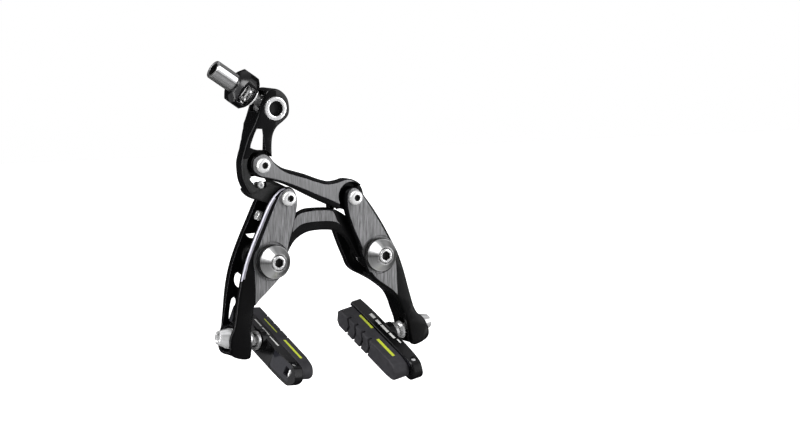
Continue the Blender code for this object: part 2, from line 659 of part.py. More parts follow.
def build_lever():
    lever = plate("upper_lever", smooth(LEVER_OUT, 2), LEVER_FRONT, LEVER_TOP_BACK,
                  material("lever_anodised", ANODISED))
    # the back of the lever steps forward below the swivel boss
    cut(lever, side_cut("lever_back_slope", LEVER_BACK_SLOPE))
    add(lever,
        plate("lever_foot", smooth(LEVER_FOOT, 2), FOOT_FRONT, FOOT_BACK),
        y_rod("lever_link_boss", 6.4, LINK_PIVOT, -13.0, FOOT_BACK))
    exit_end = (SWIVEL[0] + WIRE_EXIT_LENGTH * math.cos(WIRE_EXIT_ANGLE), BARREL_Y,
                SWIVEL[1] - WIRE_EXIT_LENGTH * math.sin(WIRE_EXIT_ANGLE))
    cut(lever,
        plate("lever_window", smooth(LEVER_WINDOW, 2), CLEAR_FRONT, 0),
        plate("lever_window_2", smooth(LEVER_WINDOW_2, 2),
              CLEAR_FRONT, FOOT_FRONT - GAP),
        plate("lever_window_3", LEVER_WINDOW_3, CLEAR_FRONT, 0),
        slanted("lever_window_slant", LEVER_WINDOW_SLANT, -19.0, -8.0),
        slanted("lever_window_4", LEVER_WINDOW_4, -19.0, -8.6),
        y_rod("lever_recess", 7.0, LINK_PIVOT, y1=LINK_RELIEF_BACK, n=20),
        # relief so that the link can swing over the right edge
        plate("lever_link_relief", LINK_RELIEF, CLEAR_FRONT, LINK_RELIEF_BACK),
        y_rod("lever_link_bore", PIVOT_BOLT_R + GAP, LINK_PIVOT, n=20),
        y_rod("lever_foot_bore", PIVOT_BOLT_R + GAP, LEVER_PIVOT, n=20),
        y_rod("lever_swivel_bore", 5.4 + GAP, SWIVEL),
        plate("lever_foot_step", FOOT_STEP, CLEAR_FRONT, -16.1),
        # barrel opening through the top boss, flared for the swivel
        plate("lever_barrel_window",
              [(SWIVEL[0] + x, SWIVEL[1] + z) for x, z in BARREL_WINDOW],
              -16.6, -7.4),
        rod("lever_wire_exit", 1.8, BARREL_START, exit_end, 16),
        y_rod("stop_screw_bore", 1.1 + GAP, STOP, y1=-11.0, n=12),
        y_rod("stop_screw_seat", 2.1, STOP, y1=FOOT_FRONT, n=14))
    sharp_shade(lever)


def build_stop_screw():
    """Small screw seated on the lever's foot, in the lower window."""
    under_head = FOOT_FRONT - GAP
    screw = turned("lever_stop_screw",
                   [(0, -12.0), (1.1, -12.0), (1.1, under_head),
                    (1.7, under_head), (1.7, -17.2), (1.4, -17.5), (0, -17.5)],
                   y_frame(STOP), 14, material("stop_screw_steel", STOP_STEEL))
    cut(screw, y_rod("stop_screw_socket", 0.85, STOP, -20, -16.6, n=6))


# ---------------------------------------------------------------- link
LINK_OUT = [
    (-32.2, 49.4), (-28.9, 48.2), (-26.2, 45.2), (-22.4, 42.6), (-18.0, 41.2),
    (-11.0, 39.2), (-5.0, 37.0), (-1.0, 35.8), (3.0, 35.0), (7.0, 35.4),
    (10.4, 36.1), (13.4, 35.8), (16.2, 34.7), (18.6, 33.0, 's'),
    (16.8, 30.8, 's'), (8.0, 21.5, 's'), (6.4, 22.6), (1.4, 24.6),
    (-4.0, 27.0), (-10.0, 29.9), (-16.0, 32.9), (-19.2, 34.3), (-22.0, 35.3),
    (-28.0, 37.2), (-33.4, 38.6), (-37.0, 41.4), (-37.6, 44.2), (-36.6, 47.4)]
LINK_FACET = [
    (-32.2, 48.9), (-29.0, 47.5), (-26.2, 44.2), (-22.4, 41.2), (-18.4, 39.4),
    (-11.0, 37.2), (-5.0, 35.2), (0.0, 33.9), (4.4, 34.0), (7.8, 34.8),
    (10.6, 35.5), (13.2, 35.2), (15.8, 34.1), (17.9, 32.6, 's'),
    (16.6, 30.6, 's'), (8.4, 23.9, 's'), (6.6, 24.7), (1.6, 27.0),
    (-4.0, 29.2), (-10.0, 31.8), (-16.0, 34.2), (-22.0, 36.3), (-28.0, 37.9),
    (-33.2, 39.1), (-36.4, 41.6), (-37.0, 44.2), (-36.2, 47.0)]
LINK_CORE = [
    (15.0, 35.2), (10.0, 33.7), (4.0, 33.4), (-4.0, 33.6), (-7.0, 32.0),
    (-6.0, 29.6), (0.0, 27.2), (5.4, 24.8), (9.6, 22.2), (15.0, 20.9),
    (20.2, 22.8), (22.0, 27.2), (20.2, 32.4)]
LINK_POCKET_OPEN = [(7.2, 25.0), (7.0, 14.0), (34.0, 14.0), (34.0, 31.0),
                    (19.4, 31.6), (15.0, 28.0)]
CORE_FRONT = -16.1       # front of the core, and floor of the pocket


def build_link():
    link = plate("link", smooth(LINK_OUT, 2), ARM_BASE, -15.3,
                 material("link_anodised", ANODISED))
    add(link,
        plate("link_facet", smooth(LINK_FACET, 2), ARM_FACE, ARM_BASE + 0.9),
        plate("link_core", smooth(LINK_CORE, 1), CORE_FRONT, -6.5))
    cut(link,
        plate("link_pocket", circle((13.2, 28.0), 6.7, 24), CLEAR_FRONT, CORE_FRONT),
        plate("link_pocket_open", LINK_POCKET_OPEN, CLEAR_FRONT, CORE_FRONT),
        y_rod("link_open_pivot_bore", PIVOT_BOLT_R + 0.8, ANCHOR_PIVOT),
        y_rod("link_lever_bore", PIVOT_BOLT_R + GAP, LINK_PIVOT, n=20))
    sharp_shade(link)


# ---------------------------------------------------------------- adjuster
BARREL_R = 4.45
BARREL_END = 33.6                     # mouth of the barrel, from the swivel axis
KNOB_IN, KNOB_OUT = 11.8, 21.8        # knob ends along the barrel
KNOB_R = 9.4


def build_swivel():
    """Trunnion in the lever's top; profile is (radius, y)."""
    swivel = turned("swivel_trunnion",
                    [(0, -5.2), (4.6, -5.2), (5.4, -5.9), (5.4, -18.9),
                     (5.0, -19.3), (3.75, -19.3), (3.45, -18.9),
                     (3.45, -16.2), (0, -16.2)],
                    y_frame(SWIVEL), 24, material("swivel_polished", SILVER))
    cut(swivel,
        rod("swivel_thread_bore", 3.0, on_barrel(-1.0), on_barrel(9.0), 20),
        rod("swivel_wire_bore", 0.9, on_barrel(-9.0), on_barrel(2.0), 10))


def build_barrel():
    """Profile is (radius, distance from the swivel axis)."""
    turned("barrel_adjuster",
           [(1.3, BARREL_END - 9.0), (2.9, BARREL_END - 9.0),
            (2.9, BARREL_END - 0.3), (3.3, BARREL_END), (4.1, BARREL_END),
            (BARREL_R, BARREL_END - 0.4), (BARREL_R, KNOB_OUT + 0.3),
            (BARREL_R, KNOB_OUT - 2.0), (2.6, KNOB_OUT - 2.4), (2.6, 1.4),
            (2.3, 1.1), (1.3, 1.1)],
           BARREL_FRAME, 24, material("barrel_polished", SILVER), ring=True)


def build_knob():
    # local Y, the depth of plate(), runs along the barrel
    turn = Vector((0, 1, 0)).rotation_difference(BARREL_DIR)
    frame = Matrix.Translation(BARREL_START * MM) @ turn.to_matrix().to_4x4()
    knob = plate("adjuster_knob",
                 lobed(KNOB_R, depth=1.3, lobes=4, n=32, turn=0.45),
                 KNOB_IN, KNOB_OUT, material("knob_black", KNOB_BLACK), frame)
    # rounds off both ends
    combine(knob, 'INTERSECT', turned(
        "knob_envelope",
        [(0, KNOB_OUT + 0.01), (5.4, KNOB_OUT + 0.01), (8.6, KNOB_OUT - 2.2),
         (9.6, KNOB_OUT - 3.4), (9.6, KNOB_IN + 4.2), (8.7, KNOB_IN + 1.8),
         (7.1, KNOB_IN - 0.01), (0, KNOB_IN - 0.01)],
        BARREL_FRAME, 32))
    cut(knob,
        rod("knob_bore", BARREL_R + GAP, on_barrel(KNOB_OUT - 4.0),
            on_barrel(KNOB_OUT + 3)),
        rod("knob_spring_room", 6.3, on_barrel(KNOB_IN - 3),
            on_barrel(KNOB_OUT - 2.5)),
        box("knob_side_window", (-4.4, KNOB_IN + 1.8, -20),
            (4.4, KNOB_OUT - 3.2, -3),
            frame @ Matrix.Rotation(math.radians(101), 4, 'Y')))
    sharp_shade(knob, 25)


# ---------------------------------------------------------------- springs
def build_adjuster_spring():
    """Keeps the adjuster from turning by itself."""
    across = Vector((0, 1, 0))
    wire("adjuster_spring",
         helix(BARREL_START, across, BARREL_DIR.cross(across).normalized(),
               BARREL_DIR, r=4.4, start=9.6, end=18.2, turns=4.0),
         0.6, material("adjuster_spring_steel", STEEL))


def build_return_spring(side):
    """Torsion spring round the sleeve, behind the bridge eye."""
    points = helix((side.mount[0], 0, side.mount[1]), (1, 0, 0), (0, 0, 1),
                   (0, 1, 0), r=5.6, start=-10.2, end=-7.2, turns=2.25,
                   phase=math.radians(100), hand=-side.sign)
    # short leg, tangent to the last turn
    points.append(points[-1] + (points[-1] - points[-2]).normalized() * 5.0)
    wire(side.name + "_return_spring", points, 0.65,
         material(side.name + "_spring_steel", STEEL))


# ---------------------------------------------------------------- tension screw
SCREW_DIR = Vector((0.94, 0.0, -0.34)).normalized()
SCREW_HEAD = Vector((-31.2, -11.6, 20.6))
TENSION_BLOCK = [(-27.6, 21.6), (-28.9, 18.0), (-24.6, 16.2), (-22.6, 19.2)]


def build_tension_screw():
    """Sets the spring tension; profile is (radius, distance from the head)."""
    screw = turned("tension_screw",
                   [(0, 9.0), (1.0, 9.0), (1.25, 8.7), (1.25, 1.8), (2.2, 1.8),
                    (2.2, 0.3), (1.9, 0), (0, 0)],
                   axis_matrix(SCREW_HEAD, SCREW_DIR), 20,
                   material("tension_screw_steel", STEEL))
    cut(screw, rod("tension_screw_socket", 1.1, SCREW_HEAD + SCREW_DIR * -1.0,
                   SCREW_HEAD + SCREW_DIR * 1.1, 6))


def build_tension_block():
    """Small block between the plates of the left arm."""
    block = plate("tension_block", TENSION_BLOCK, -15.9, -7.4,
                  material("tension_block_black", BLACK_STEEL))
    cut(block, rod("tension_block_bore", 1.25 + GAP, SCREW_HEAD + SCREW_DIR * -3.0,
                   SCREW_HEAD + SCREW_DIR * 14.0, 20))


# ---------------------------------------------------------------- anchor
def build_cable_anchor():
    """Bolt and washer behind the right arm's top pivot; profiles (radius, y)."""
    frame = y_frame(ANCHOR_PIVOT)
    bolt = turned("cable_anchor_bolt",
                  [(0, 4.9), (2.4, 4.9), (3.0, 4.5), (3.0, 1.9), (1.5, 1.9),
                   (1.5, -3.7), (0, -3.7)],
                  frame, 20, material("anchor_bolt_steel", STEEL))
    cut(bolt, y_rod("anchor_socket", 1.5, ANCHOR_PIVOT, 3.0, 8.0, n=6))
    turned("cable_anchor_washer",
           [(1.5 + GAP, 1.5), (4.0, 1.5), (4.3, 1.2), (4.3, -2.0),
            (1.5 + GAP, -2.0)],
           frame, 24, material("anchor_washer_steel", STEEL), ring=True)


# ---------------------------------------------------------------- pads
# Pad frame: origin on the stud axis at the holder's stud boss, X along the
# pad, Y away from the rim, Z height.  The pad's front end is at +X on the
# right and at -X on the left.
PAD_PITCH = math.radians(26.5)        # nose-down angle of the pads as set
PAD_YAW = math.radians(8.0)
SEAT_OUT = 1.8                        # nut seat, from the slot's middle, outwards
SEAT_IN = 5.2                         # inner face of the pad block
HOLDER_BACK = 10.6                    # slot's middle to the stud boss's face
BOSS_T = 1.2                          # height of that boss
HOLDER_T = 6.2                        # holder from its back to the end of its rails
PAD_T = 7.8                           # rubber standing proud of the rails
PAD_DROP = 1.8                        # holder centre line below the stud
PAD_SHIFT = 1.5                       # holder centre ahead of the stud
RAIL_Y = -BOSS_T - HOLDER_T           # end of the rails
PAD_SCREW_X = 24.8                    # towards the front end
PAD_SCREW_Y = RAIL_Y + 3.2
STUD_R = 2.4
STUD_RING_R = 2.4 + GAP               # bore of the rings on the stud
GROOVE_PITCH = 6.0

# (length to the front, height) about the centre of holder and pad
HOLDER_SIDE = [(-27.6, -3.4, 's'), (-26.6, -5.3, 's'), (22.0, -5.3, 's'),
               (26.6, -4.4), (29.4, 0.0), (26.6, 4.4), (22.0, 5.3, 's'),
               (-26.6, 5.3, 's'), (-27.6, 3.4, 's')]
PAD_SIDE = [(-26.0, -2.6, 's'), (-24.0, -4.8, 's'), (18.0, -4.8, 's'),
            (23.6, -3.6), (26.0, 0.0), (23.6, 3.6), (18.0, 4.8, 's'),
            (-24.0, 4.8, 's'), (-26.0, 2.6, 's')]
# (x, y) behind one end of the holder, x measured away from the stud
HOLDER_TAPER = [(9.0, 0.02), (9.0, 6.0), (40.0, 6.0), (40.0, -2.6),
                (30.5, -2.5), (11.0, -1.18)]
# (length, height) of a chevron groove, from its own start
GROOVE = [(0, -6.2), (1.5, -6.2), (3.9, 1.0), (1.9, 6.2), (0.4, 6.2), (2.4, 1.0)]


def pad_frame(side):
    out = side.outward
    forward = Vector((math.cos(PAD_PITCH) * math.sin(PAD_YAW),
                      -math.cos(PAD_PITCH) * math.cos(PAD_YAW),
                      -math.sin(PAD_PITCH)))
    rimward = (-out + forward * out.dot(forward)).normalized()
    # the sign keeps the height upwards and the frame right-handed
    height = rimward.cross(forward) * side.sign
    length = forward * side.sign
    turn = Matrix((length, -rimward, height)).transposed()
    origin = side.stud_point - out * HOLDER_BACK
    return Matrix.Translation(origin * MM) @ turn.to_4x4()


def pad_side_view(side, points):
    return drop_straight(smooth([((p[0] + PAD_SHIFT) * side.sign,
                                  p[1] - PAD_DROP, *p[2:]) for p in points], 4))


def build_pad_holder(side, frame):
    name, sign = side.name, side.sign
    holder = plate(name + "_pad_holder", pad_side_view(side, HOLDER_SIDE),
                   RAIL_Y, -BOSS_T, material(name + "_holder_black", HOLDER_BLACK),
                   frame)
    add(holder, rod(name + "_holder_boss", 5.2, (0, -3.0, 0), (0, 0, 0),
                    frame=frame))
    # tapered back towards both ends
    for end in (-1, 1):
        end_name = "_taper_front" if end * sign > 0 else "_taper_rear"
        cut(holder, plate(name + end_name, [(x * end, y) for x, y in HOLDER_TAPER],
                          -20, 20, frame=frame @ Matrix.Rotation(-math.pi / 2, 4, 'X')))
    x0, x1 = sorted((-60 * sign, (20.4 + PAD_SHIFT) * sign))
    screw_x = PAD_SCREW_X * sign
    cut(holder,
        # channel for the pad's tongue, open at the rear end
        box(name + "_pocket", (x0, RAIL_Y - 1, -PAD_DROP - 3.3),
            (x1, RAIL_Y + 2.6, -PAD_DROP + 3.3), frame),
        rod(name + "_stud_bore", 3.1, (0, -3.8, 0), (0, 3, 0), 20, frame),
        rod(name + "_screw_bore", 1.2 + GAP, (screw_x, PAD_SCREW_Y, -PAD_DROP - 4.4),
            (screw_x, PAD_SCREW_Y, 8), 16, frame),
        # window in the holder's back where the screw shows
        box(name + "_screw_window", (screw_x - 2.3, RAIL_Y + 1.5, -PAD_DROP - 1.4),
            (screw_x + 2.3, RAIL_Y + 9.0, -PAD_DROP + 2.8), frame))
    sharp_shade(holder)


def build_brake_pad(side, frame):
    name, sign = side.name, side.sign
    pad = plate(name + "_brake_pad", pad_side_view(side, PAD_SIDE),
                RAIL_Y - PAD_T, RAIL_Y - GAP, material(name + "_rubber", RUBBER),
                frame)
    x0, x1 = sorted(((-24.0 + PAD_SHIFT) * sign, (20.0 + PAD_SHIFT) * sign))
    add(pad, box(name + "_tongue", (x0, RAIL_Y - 1.5, -PAD_DROP - 2.9),
                 (x1, RAIL_Y + 2.2, -PAD_DROP + 2.9), frame))
    for k in range(4):
        start = -18.6 + GROOVE_PITCH * k + PAD_SHIFT
        cut(pad, plate(name + "_groove_%d" % (k + 1),
                       [((start + x) * sign, z - PAD_DROP) for x, z in GROOVE],
                       RAIL_Y - PAD_T - 2, RAIL_Y - PAD_T + 2.2, frame=frame))
    sharp_shade(pad)


def build_pad_hardware(side, frame):
    """Pad screw, stud, washers and nut; profiles are (radius, height)."""
    name = side.name
    screw_place = Vector((PAD_SCREW_X * side.sign, PAD_SCREW_Y, -PAD_DROP - 4.0))
    stud_axis = axis_matrix(side.stud_point, side.outward)   # height is outwards

    turned(name + "_pad_screw",
           [(0, 8.4), (1.0, 8.4), (1.2, 8.2), (1.2, 0.2), (1.0, 0), (0, 0)],
           frame @ Matrix.Translation(screw_place * MM), 16,
           material(name + "_pad_screw_steel", STEEL))
    turned(name + "_pad_stud",
           [(0, 8.0), (2.1, 8.0), (STUD_R, 7.7), (STUD_R, -HOLDER_BACK - 2.9),
            (0, -HOLDER_BACK - 2.9)],
           stud_axis, 20, material(name + "_stud_steel", STEEL))
    turned(name + "_nut_washer",
           [(STUD_RING_R, SEAT_OUT + 1.3), (4.2, SEAT_OUT + 1.3),
            (4.7, SEAT_OUT + 0.9), (4.7, SEAT_OUT + GAP),
            (STUD_RING_R, SEAT_OUT + GAP)],
           stud_axis, 20, material(name + "_nut_washer_steel", STEEL), ring=True)
    turned(name + "_pad_nut",
           [(STUD_RING_R, 9.4), (2.9, 9.4), (3.2, 9.1), (4.3, 5.6), (4.7, 4.2),
            (4.7, SEAT_OUT + 1.7), (STUD_RING_R, SEAT_OUT + 1.7)],
           stud_axis, 24, material(name + "_nut_steel", NUT_STEEL), ring=True)
    turned(name + "_convex_washer",
           [(STUD_RING_R, -SEAT_IN - GAP), (4.2, -SEAT_IN - GAP),
            (4.2, -SEAT_IN - 0.9), (3.4, -SEAT_IN - 2.3),
            (STUD_RING_R, -SEAT_IN - 2.6)],
           stud_axis, 20, material(name + "_convex_steel", STEEL), ring=True)
    # the concave washer tilts with the holder
    turned(name + "_concave_washer",
           [(3.05, 1.7), (3.5, 1.9), (4.5, 1.9), (4.5, GAP), (3.05, GAP)],
           frame @ Matrix.Rotation(-math.pi / 2, 4, 'X'), 20,
           material(name + "_concave_steel", STEEL), ring=True)


def cut_pad_seats(side):
    """Flat seats on the arm for the washers, inside and outside."""
    in0, in1 = sorted((-SEAT_IN * side.sign, -20.0 * side.sign))
    out0, out1 = sorted((SEAT_OUT * side.sign, 20.0 * side.sign))
    cut(bpy.data.objects[side.name + "_arm"],
        box(side.name + "_seat_in", (in0, -30, -12.0), (in1, 20, 8.5),
            side.stud_frame),
        box(side.name + "_seat_out", (out0, -5.1, -6.4), (out1, 5.1, 12.0),
            side.stud_frame))


# ---------------------------------------------------------------- joint axes
BACK = (0, 1, 0)


def joint_empty(name, at, axis, parent, pieces):
    """Empty on a joint axis (its Z along it) that carries the pieces."""
    empty = bpy.data.objects.new(name, None)
    PARTS.objects.link(empty)
    empty.empty_display_size = 0.008
    empty.matrix_world = axis_matrix(at, axis)
    bpy.context.view_layer.update()
    if parent is not None:
        empty.parent = parent
        empty.matrix_parent_inverse = parent.matrix_world.inverted()
        bpy.context.view_layer.update()
    for piece in pieces:
        ob = bpy.data.objects[piece]
        ob.parent = empty
        ob.matrix_parent_inverse = empty.matrix_world.inverted()
    return empty


def y_joint(name, at, y, parent, pieces):
    return joint_empty(name, (at[0], y, at[1]), BACK, parent, pieces)


def build_pad_joints(side, arm_axis):
    name, out = side.name, side.outward
    slide = joint_empty(name + "_pad_height_axis", side.stud_point,
                        (-out.z * side.sign, 0, abs(out.x)), arm_axis,
                        [name + "_nut_washer", name + "_pad_nut",
                         name + "_convex_washer"])
    joint_empty(name + "_pad_pitch_axis", side.stud_point, out, slide,
                [name + "_pad_holder", name + "_brake_pad", name + "_pad_stud",
                 name + "_concave_washer", name + "_pad_screw"])


def build_joints():
    left_axis = y_joint("left_arm_axis", LEFT_MOUNT, -11, None,
                        ["left_arm", "left_top_bolt", "tension_block"])
    joint_empty("tension_screw_axis", SCREW_HEAD, SCREW_DIR, left_axis,
                ["tension_screw"])
    right_axis = y_joint("right_arm_axis", RIGHT_MOUNT, -11, None,
                         ["right_arm", "right_top_bolt", "cable_anchor_bolt",
                          "cable_anchor_washer"])
    lever_axis = y_joint("lever_axis", LEVER_PIVOT, -12, left_axis,
                         ["upper_lever", "lever_stop_screw", "link_bolt"])
    y_joint("link_axis", LINK_PIVOT, -17, lever_axis, ["link"])
    swivel_axis = y_joint("swivel_axis", SWIVEL, BARREL_Y, lever_axis,
                          ["swivel_trunnion"])
    travel_axis = joint_empty("barrel_travel_axis", BARREL_START, BARREL_DIR,
                              swivel_axis, ["adjuster_spring"])
    joint_empty("barrel_turn_axis", BARREL_START, BARREL_DIR, travel_axis,
                ["barrel_adjuster", "adjuster_knob"])
    build_pad_joints(LEFT, left_axis)
    build_pad_joints(RIGHT, right_axis)


def hang_on_centre():
    """Parent all that is still free to one empty at the middle of the bolt
    line, and move it so that the origin falls on the left mounting face."""
    centre = bpy.data.objects.new("brake_centre", None)
    PARTS.objects.link(centre)
    centre.empty_display_size = 0.01
    centre.location = (ORIGIN_OFFSET * MM, 0, 0)
    for ob in list(bpy.data.objects):
        if ob.parent is None and ob != centre:
            ob.parent = centre
    bpy.context.view_layer.update()


# ---------------------------------------------------------------- assembly
build_arm(LEFT, LEFT_OUT, LEFT_OUT, LEFT_REAR_WINDOWS, LEFT_FACET, LEFT_LEG)
build_arm(RIGHT, RIGHT_OUT, RIGHT_REAR, RIGHT_REAR_WINDOWS, RIGHT_FACET, RIGHT_LEG)
build_bridge()
for each_side in SIDES:
    build_mounting(each_side)
build_pivot_bolt("left_top_bolt", LEVER_PIVOT, -2.0)
build_pivot_bolt("right_top_bolt", ANCHOR_PIVOT, -4.2)
build_pivot_bolt("link_bolt", LINK_PIVOT, -8.6)
build_lever()
build_stop_screw()
build_link()
build_swivel()
build_barrel()
build_knob()
build_adjuster_spring()
for each_side in SIDES:
    build_return_spring(each_side)
build_tension_screw()
build_tension_block()
build_cable_anchor()
for each_side in SIDES:
    set_frame = pad_frame(each_side)
    build_pad_holder(each_side, set_frame)
    build_brake_pad(each_side, set_frame)
    build_pad_hardware(each_side, set_frame)
    cut_pad_seats(each_side)
bpy.context.view_layer.update()
build_joints()
hang_on_centre()
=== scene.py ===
"""Fine pieces, materials and stage of a direct-mount rim brake caliper.

Every CAD node is replaced by a finer piece of the same shape.  Shapes are drawn in millimetres
from the middle of the bolt line: +X towards the right arm, -Y to the front, +Z up.  SHIFT moves
them to the frame's origin.  Outlines are (x, z) points unless a comment says otherwise.
"""
import json
import math
import random
import bpy
import bmesh
from mathutils import Matrix, Vector

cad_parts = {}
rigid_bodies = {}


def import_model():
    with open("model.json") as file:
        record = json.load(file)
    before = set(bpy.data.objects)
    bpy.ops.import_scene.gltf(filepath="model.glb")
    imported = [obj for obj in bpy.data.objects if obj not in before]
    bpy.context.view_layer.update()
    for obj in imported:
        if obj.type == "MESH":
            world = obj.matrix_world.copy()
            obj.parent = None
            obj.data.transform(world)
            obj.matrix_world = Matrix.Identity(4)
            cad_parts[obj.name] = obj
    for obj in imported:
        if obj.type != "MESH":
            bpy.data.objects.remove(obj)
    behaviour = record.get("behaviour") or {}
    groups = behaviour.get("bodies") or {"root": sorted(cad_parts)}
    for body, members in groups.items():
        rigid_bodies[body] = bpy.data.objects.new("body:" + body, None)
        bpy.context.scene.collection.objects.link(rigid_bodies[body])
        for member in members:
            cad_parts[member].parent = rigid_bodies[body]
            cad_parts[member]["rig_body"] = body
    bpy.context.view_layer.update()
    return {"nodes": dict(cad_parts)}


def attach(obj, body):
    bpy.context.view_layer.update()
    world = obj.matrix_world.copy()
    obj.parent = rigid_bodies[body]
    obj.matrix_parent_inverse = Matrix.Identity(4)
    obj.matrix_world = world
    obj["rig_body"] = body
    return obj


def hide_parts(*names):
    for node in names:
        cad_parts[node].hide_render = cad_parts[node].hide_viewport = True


random.seed(7)
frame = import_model()
NODE_BODY = {node: part["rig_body"] for node, part in frame["nodes"].items()}

MM = 0.001
SHIFT_X = 0.022                 # metres
SHIFT = Matrix.Translation((SHIFT_X, 0, 0))
TO_Y = Matrix.Rotation(-math.pi / 2, 4, 'X')    # turns local Z into +Y


def collection(name):
    new = bpy.data.collections.new(name)
    bpy.context.scene.collection.children.link(new)
    return new


WORK = collection("work")
DONE = collection("caliper_fine")

# ------------------------------------------------------------ dimensions
GAP = 0.35                  # clearance between neighbouring parts
CLEAR_FRONT = -30.0         # depth ahead of every part, where cutters start
CLEAR_REAR = 5.0            # depth behind the arms, where bores end

SIDES = (("left", -1), ("right", 1))
BOLT_SPAN = 56.0            # centre distance of the two mounting bolts
MOUNT = {"left": (-BOLT_SPAN / 2, 0.0), "right": (BOLT_SPAN / 2, 0.0)}
ARM_TOP = {"left": (-19.4, 28.4), "right": (15.0, 27.2)}    # pivots at the arm tops
LINK_PIVOT = (-32.3, 44.0)  # joins link and lever
SWIVEL = (-24.8, 69.3)      # swivel axis at the top of the lever
LEVER_STOP = (-31.6, 34.8)  # small screw in the lever

Y_REAR = -2.4               # rear face of the arms
Y_REAR_IN = -6.0            # inner face of the rear plate
Y_FRONT_IN = -16.5          # inner face of the front plate
Y_BASE = -19.7              # black front face of the arms
Y_ROUNDED = -20.05          # front of the rounded plates under the facets
Y_FACE = -20.5              # machined front face of the arms
FACET_Y = Y_FACE + 0.12     # faces ahead of this depth are bare metal
SPOT_R = 9.0                # flat round each mounting bolt

SLEEVE_R = 4.0              # pivot sleeve, outside radius
SLEEVE_BORE = 3.25
MOUNT_BOLT_R = 2.9
PIVOT_BOLT_R = 2.2
PIVOT_BORE_R = PIVOT_BOLT_R + GAP

LEVER_FRONT = -18.5
LEVER_BACK = -12.0
LEVER_TOP_BACK = -5.5
FOOT_FACE = -15.9           # front of the lever's foot

BARREL_TILT = math.radians(33.0)   # barrel axis above the horizontal
BARREL_AXIS = Vector((-math.cos(BARREL_TILT), 0, math.sin(BARREL_TILT)))
BARREL_START = Vector((SWIVEL[0], -12.0, SWIVEL[1]))
BARREL_R = 4.45
BARREL_END = 33.6                  # mouth of the barrel from the swivel axis
KNOB_IN, KNOB_OUT = 11.8, 21.8     # knob ends along the barrel
KNOB_R = 9.4

STUD_Y = -13.2              # depth of the pad studs
STUD = {"left": (-42.6, -35.7), "right": (49.2, -36.0)}     # middle of the pad slots
STUD_TILT = {"left": math.radians(7.5), "right": math.radians(12.0)}    # outer end up
SEAT_OUT = 1.8              # nut seat, from the slot's middle, outwards
SEAT_IN = 5.2               # inner face of the pad block

PAD_PITCH = math.radians(26.5)     # nose-down angle of the pads as set
PAD_YAW = math.radians(8.0)
HOLDER_BACK = 10.6          # face of the holder's stud boss
BOSS_T = 1.2                # height of that boss
HOLDER_T = 6.2              # holder from its back to the end of its rails
PAD_T = 7.8                 # rubber standing proud of the rails
PAD_DROP = 1.8              # holder centre line below the stud
PAD_SHIFT = 1.5             # holder centre ahead of the stud


# ------------------------------------------------------------ shader nodes
NOISE_MID = (0.3, 0.7)      # range that holds most of a noise's values


class Nodes:
    """Short calls that add nodes to a tree; inputs are sockets or plain values."""

    def __init__(self, tree):
        self.tree = tree
        tree.nodes.clear()

    def new(self, kind):
        return self.tree.nodes.new(kind)

    def put(self, socket, value):
        if isinstance(value, bpy.types.NodeSocket):
            self.tree.links.new(value, socket)
        else:
            socket.default_value = value

    def math(self, operation, first, second):
        node = self.new('ShaderNodeMath')
        node.operation = operation
        self.put(node.inputs[0], first)
        self.put(node.inputs[1], second)
        return node.outputs[0]

    def plus(self, first, second):
        return self.math('ADD', first, second)

    def times(self, first, second):
        return self.math('MULTIPLY', first, second)

    def vector_math(self, operation, first, second=None, output=0):
        node = self.new('ShaderNodeVectorMath')
        node.operation = operation
        self.put(node.inputs[0], first)
        if second is not None:
            self.put(node.inputs[1], second)
        return node.outputs[output]

    def dot(self, first, second):
        return self.vector_math('DOT_PRODUCT', first, second, 'Value')

    def remap(self, value, span=NOISE_MID, to=(0, 1), interpolation='LINEAR'):
        node = self.new('ShaderNodeMapRange')
        node.interpolation_type = interpolation
        self.put(node.inputs['Value'], value)
        for socket, limit in zip(('From Min', 'From Max', 'To Min', 'To Max'), (*span, *to)):
            node.inputs[socket].default_value = limit
        return node.outputs[0]


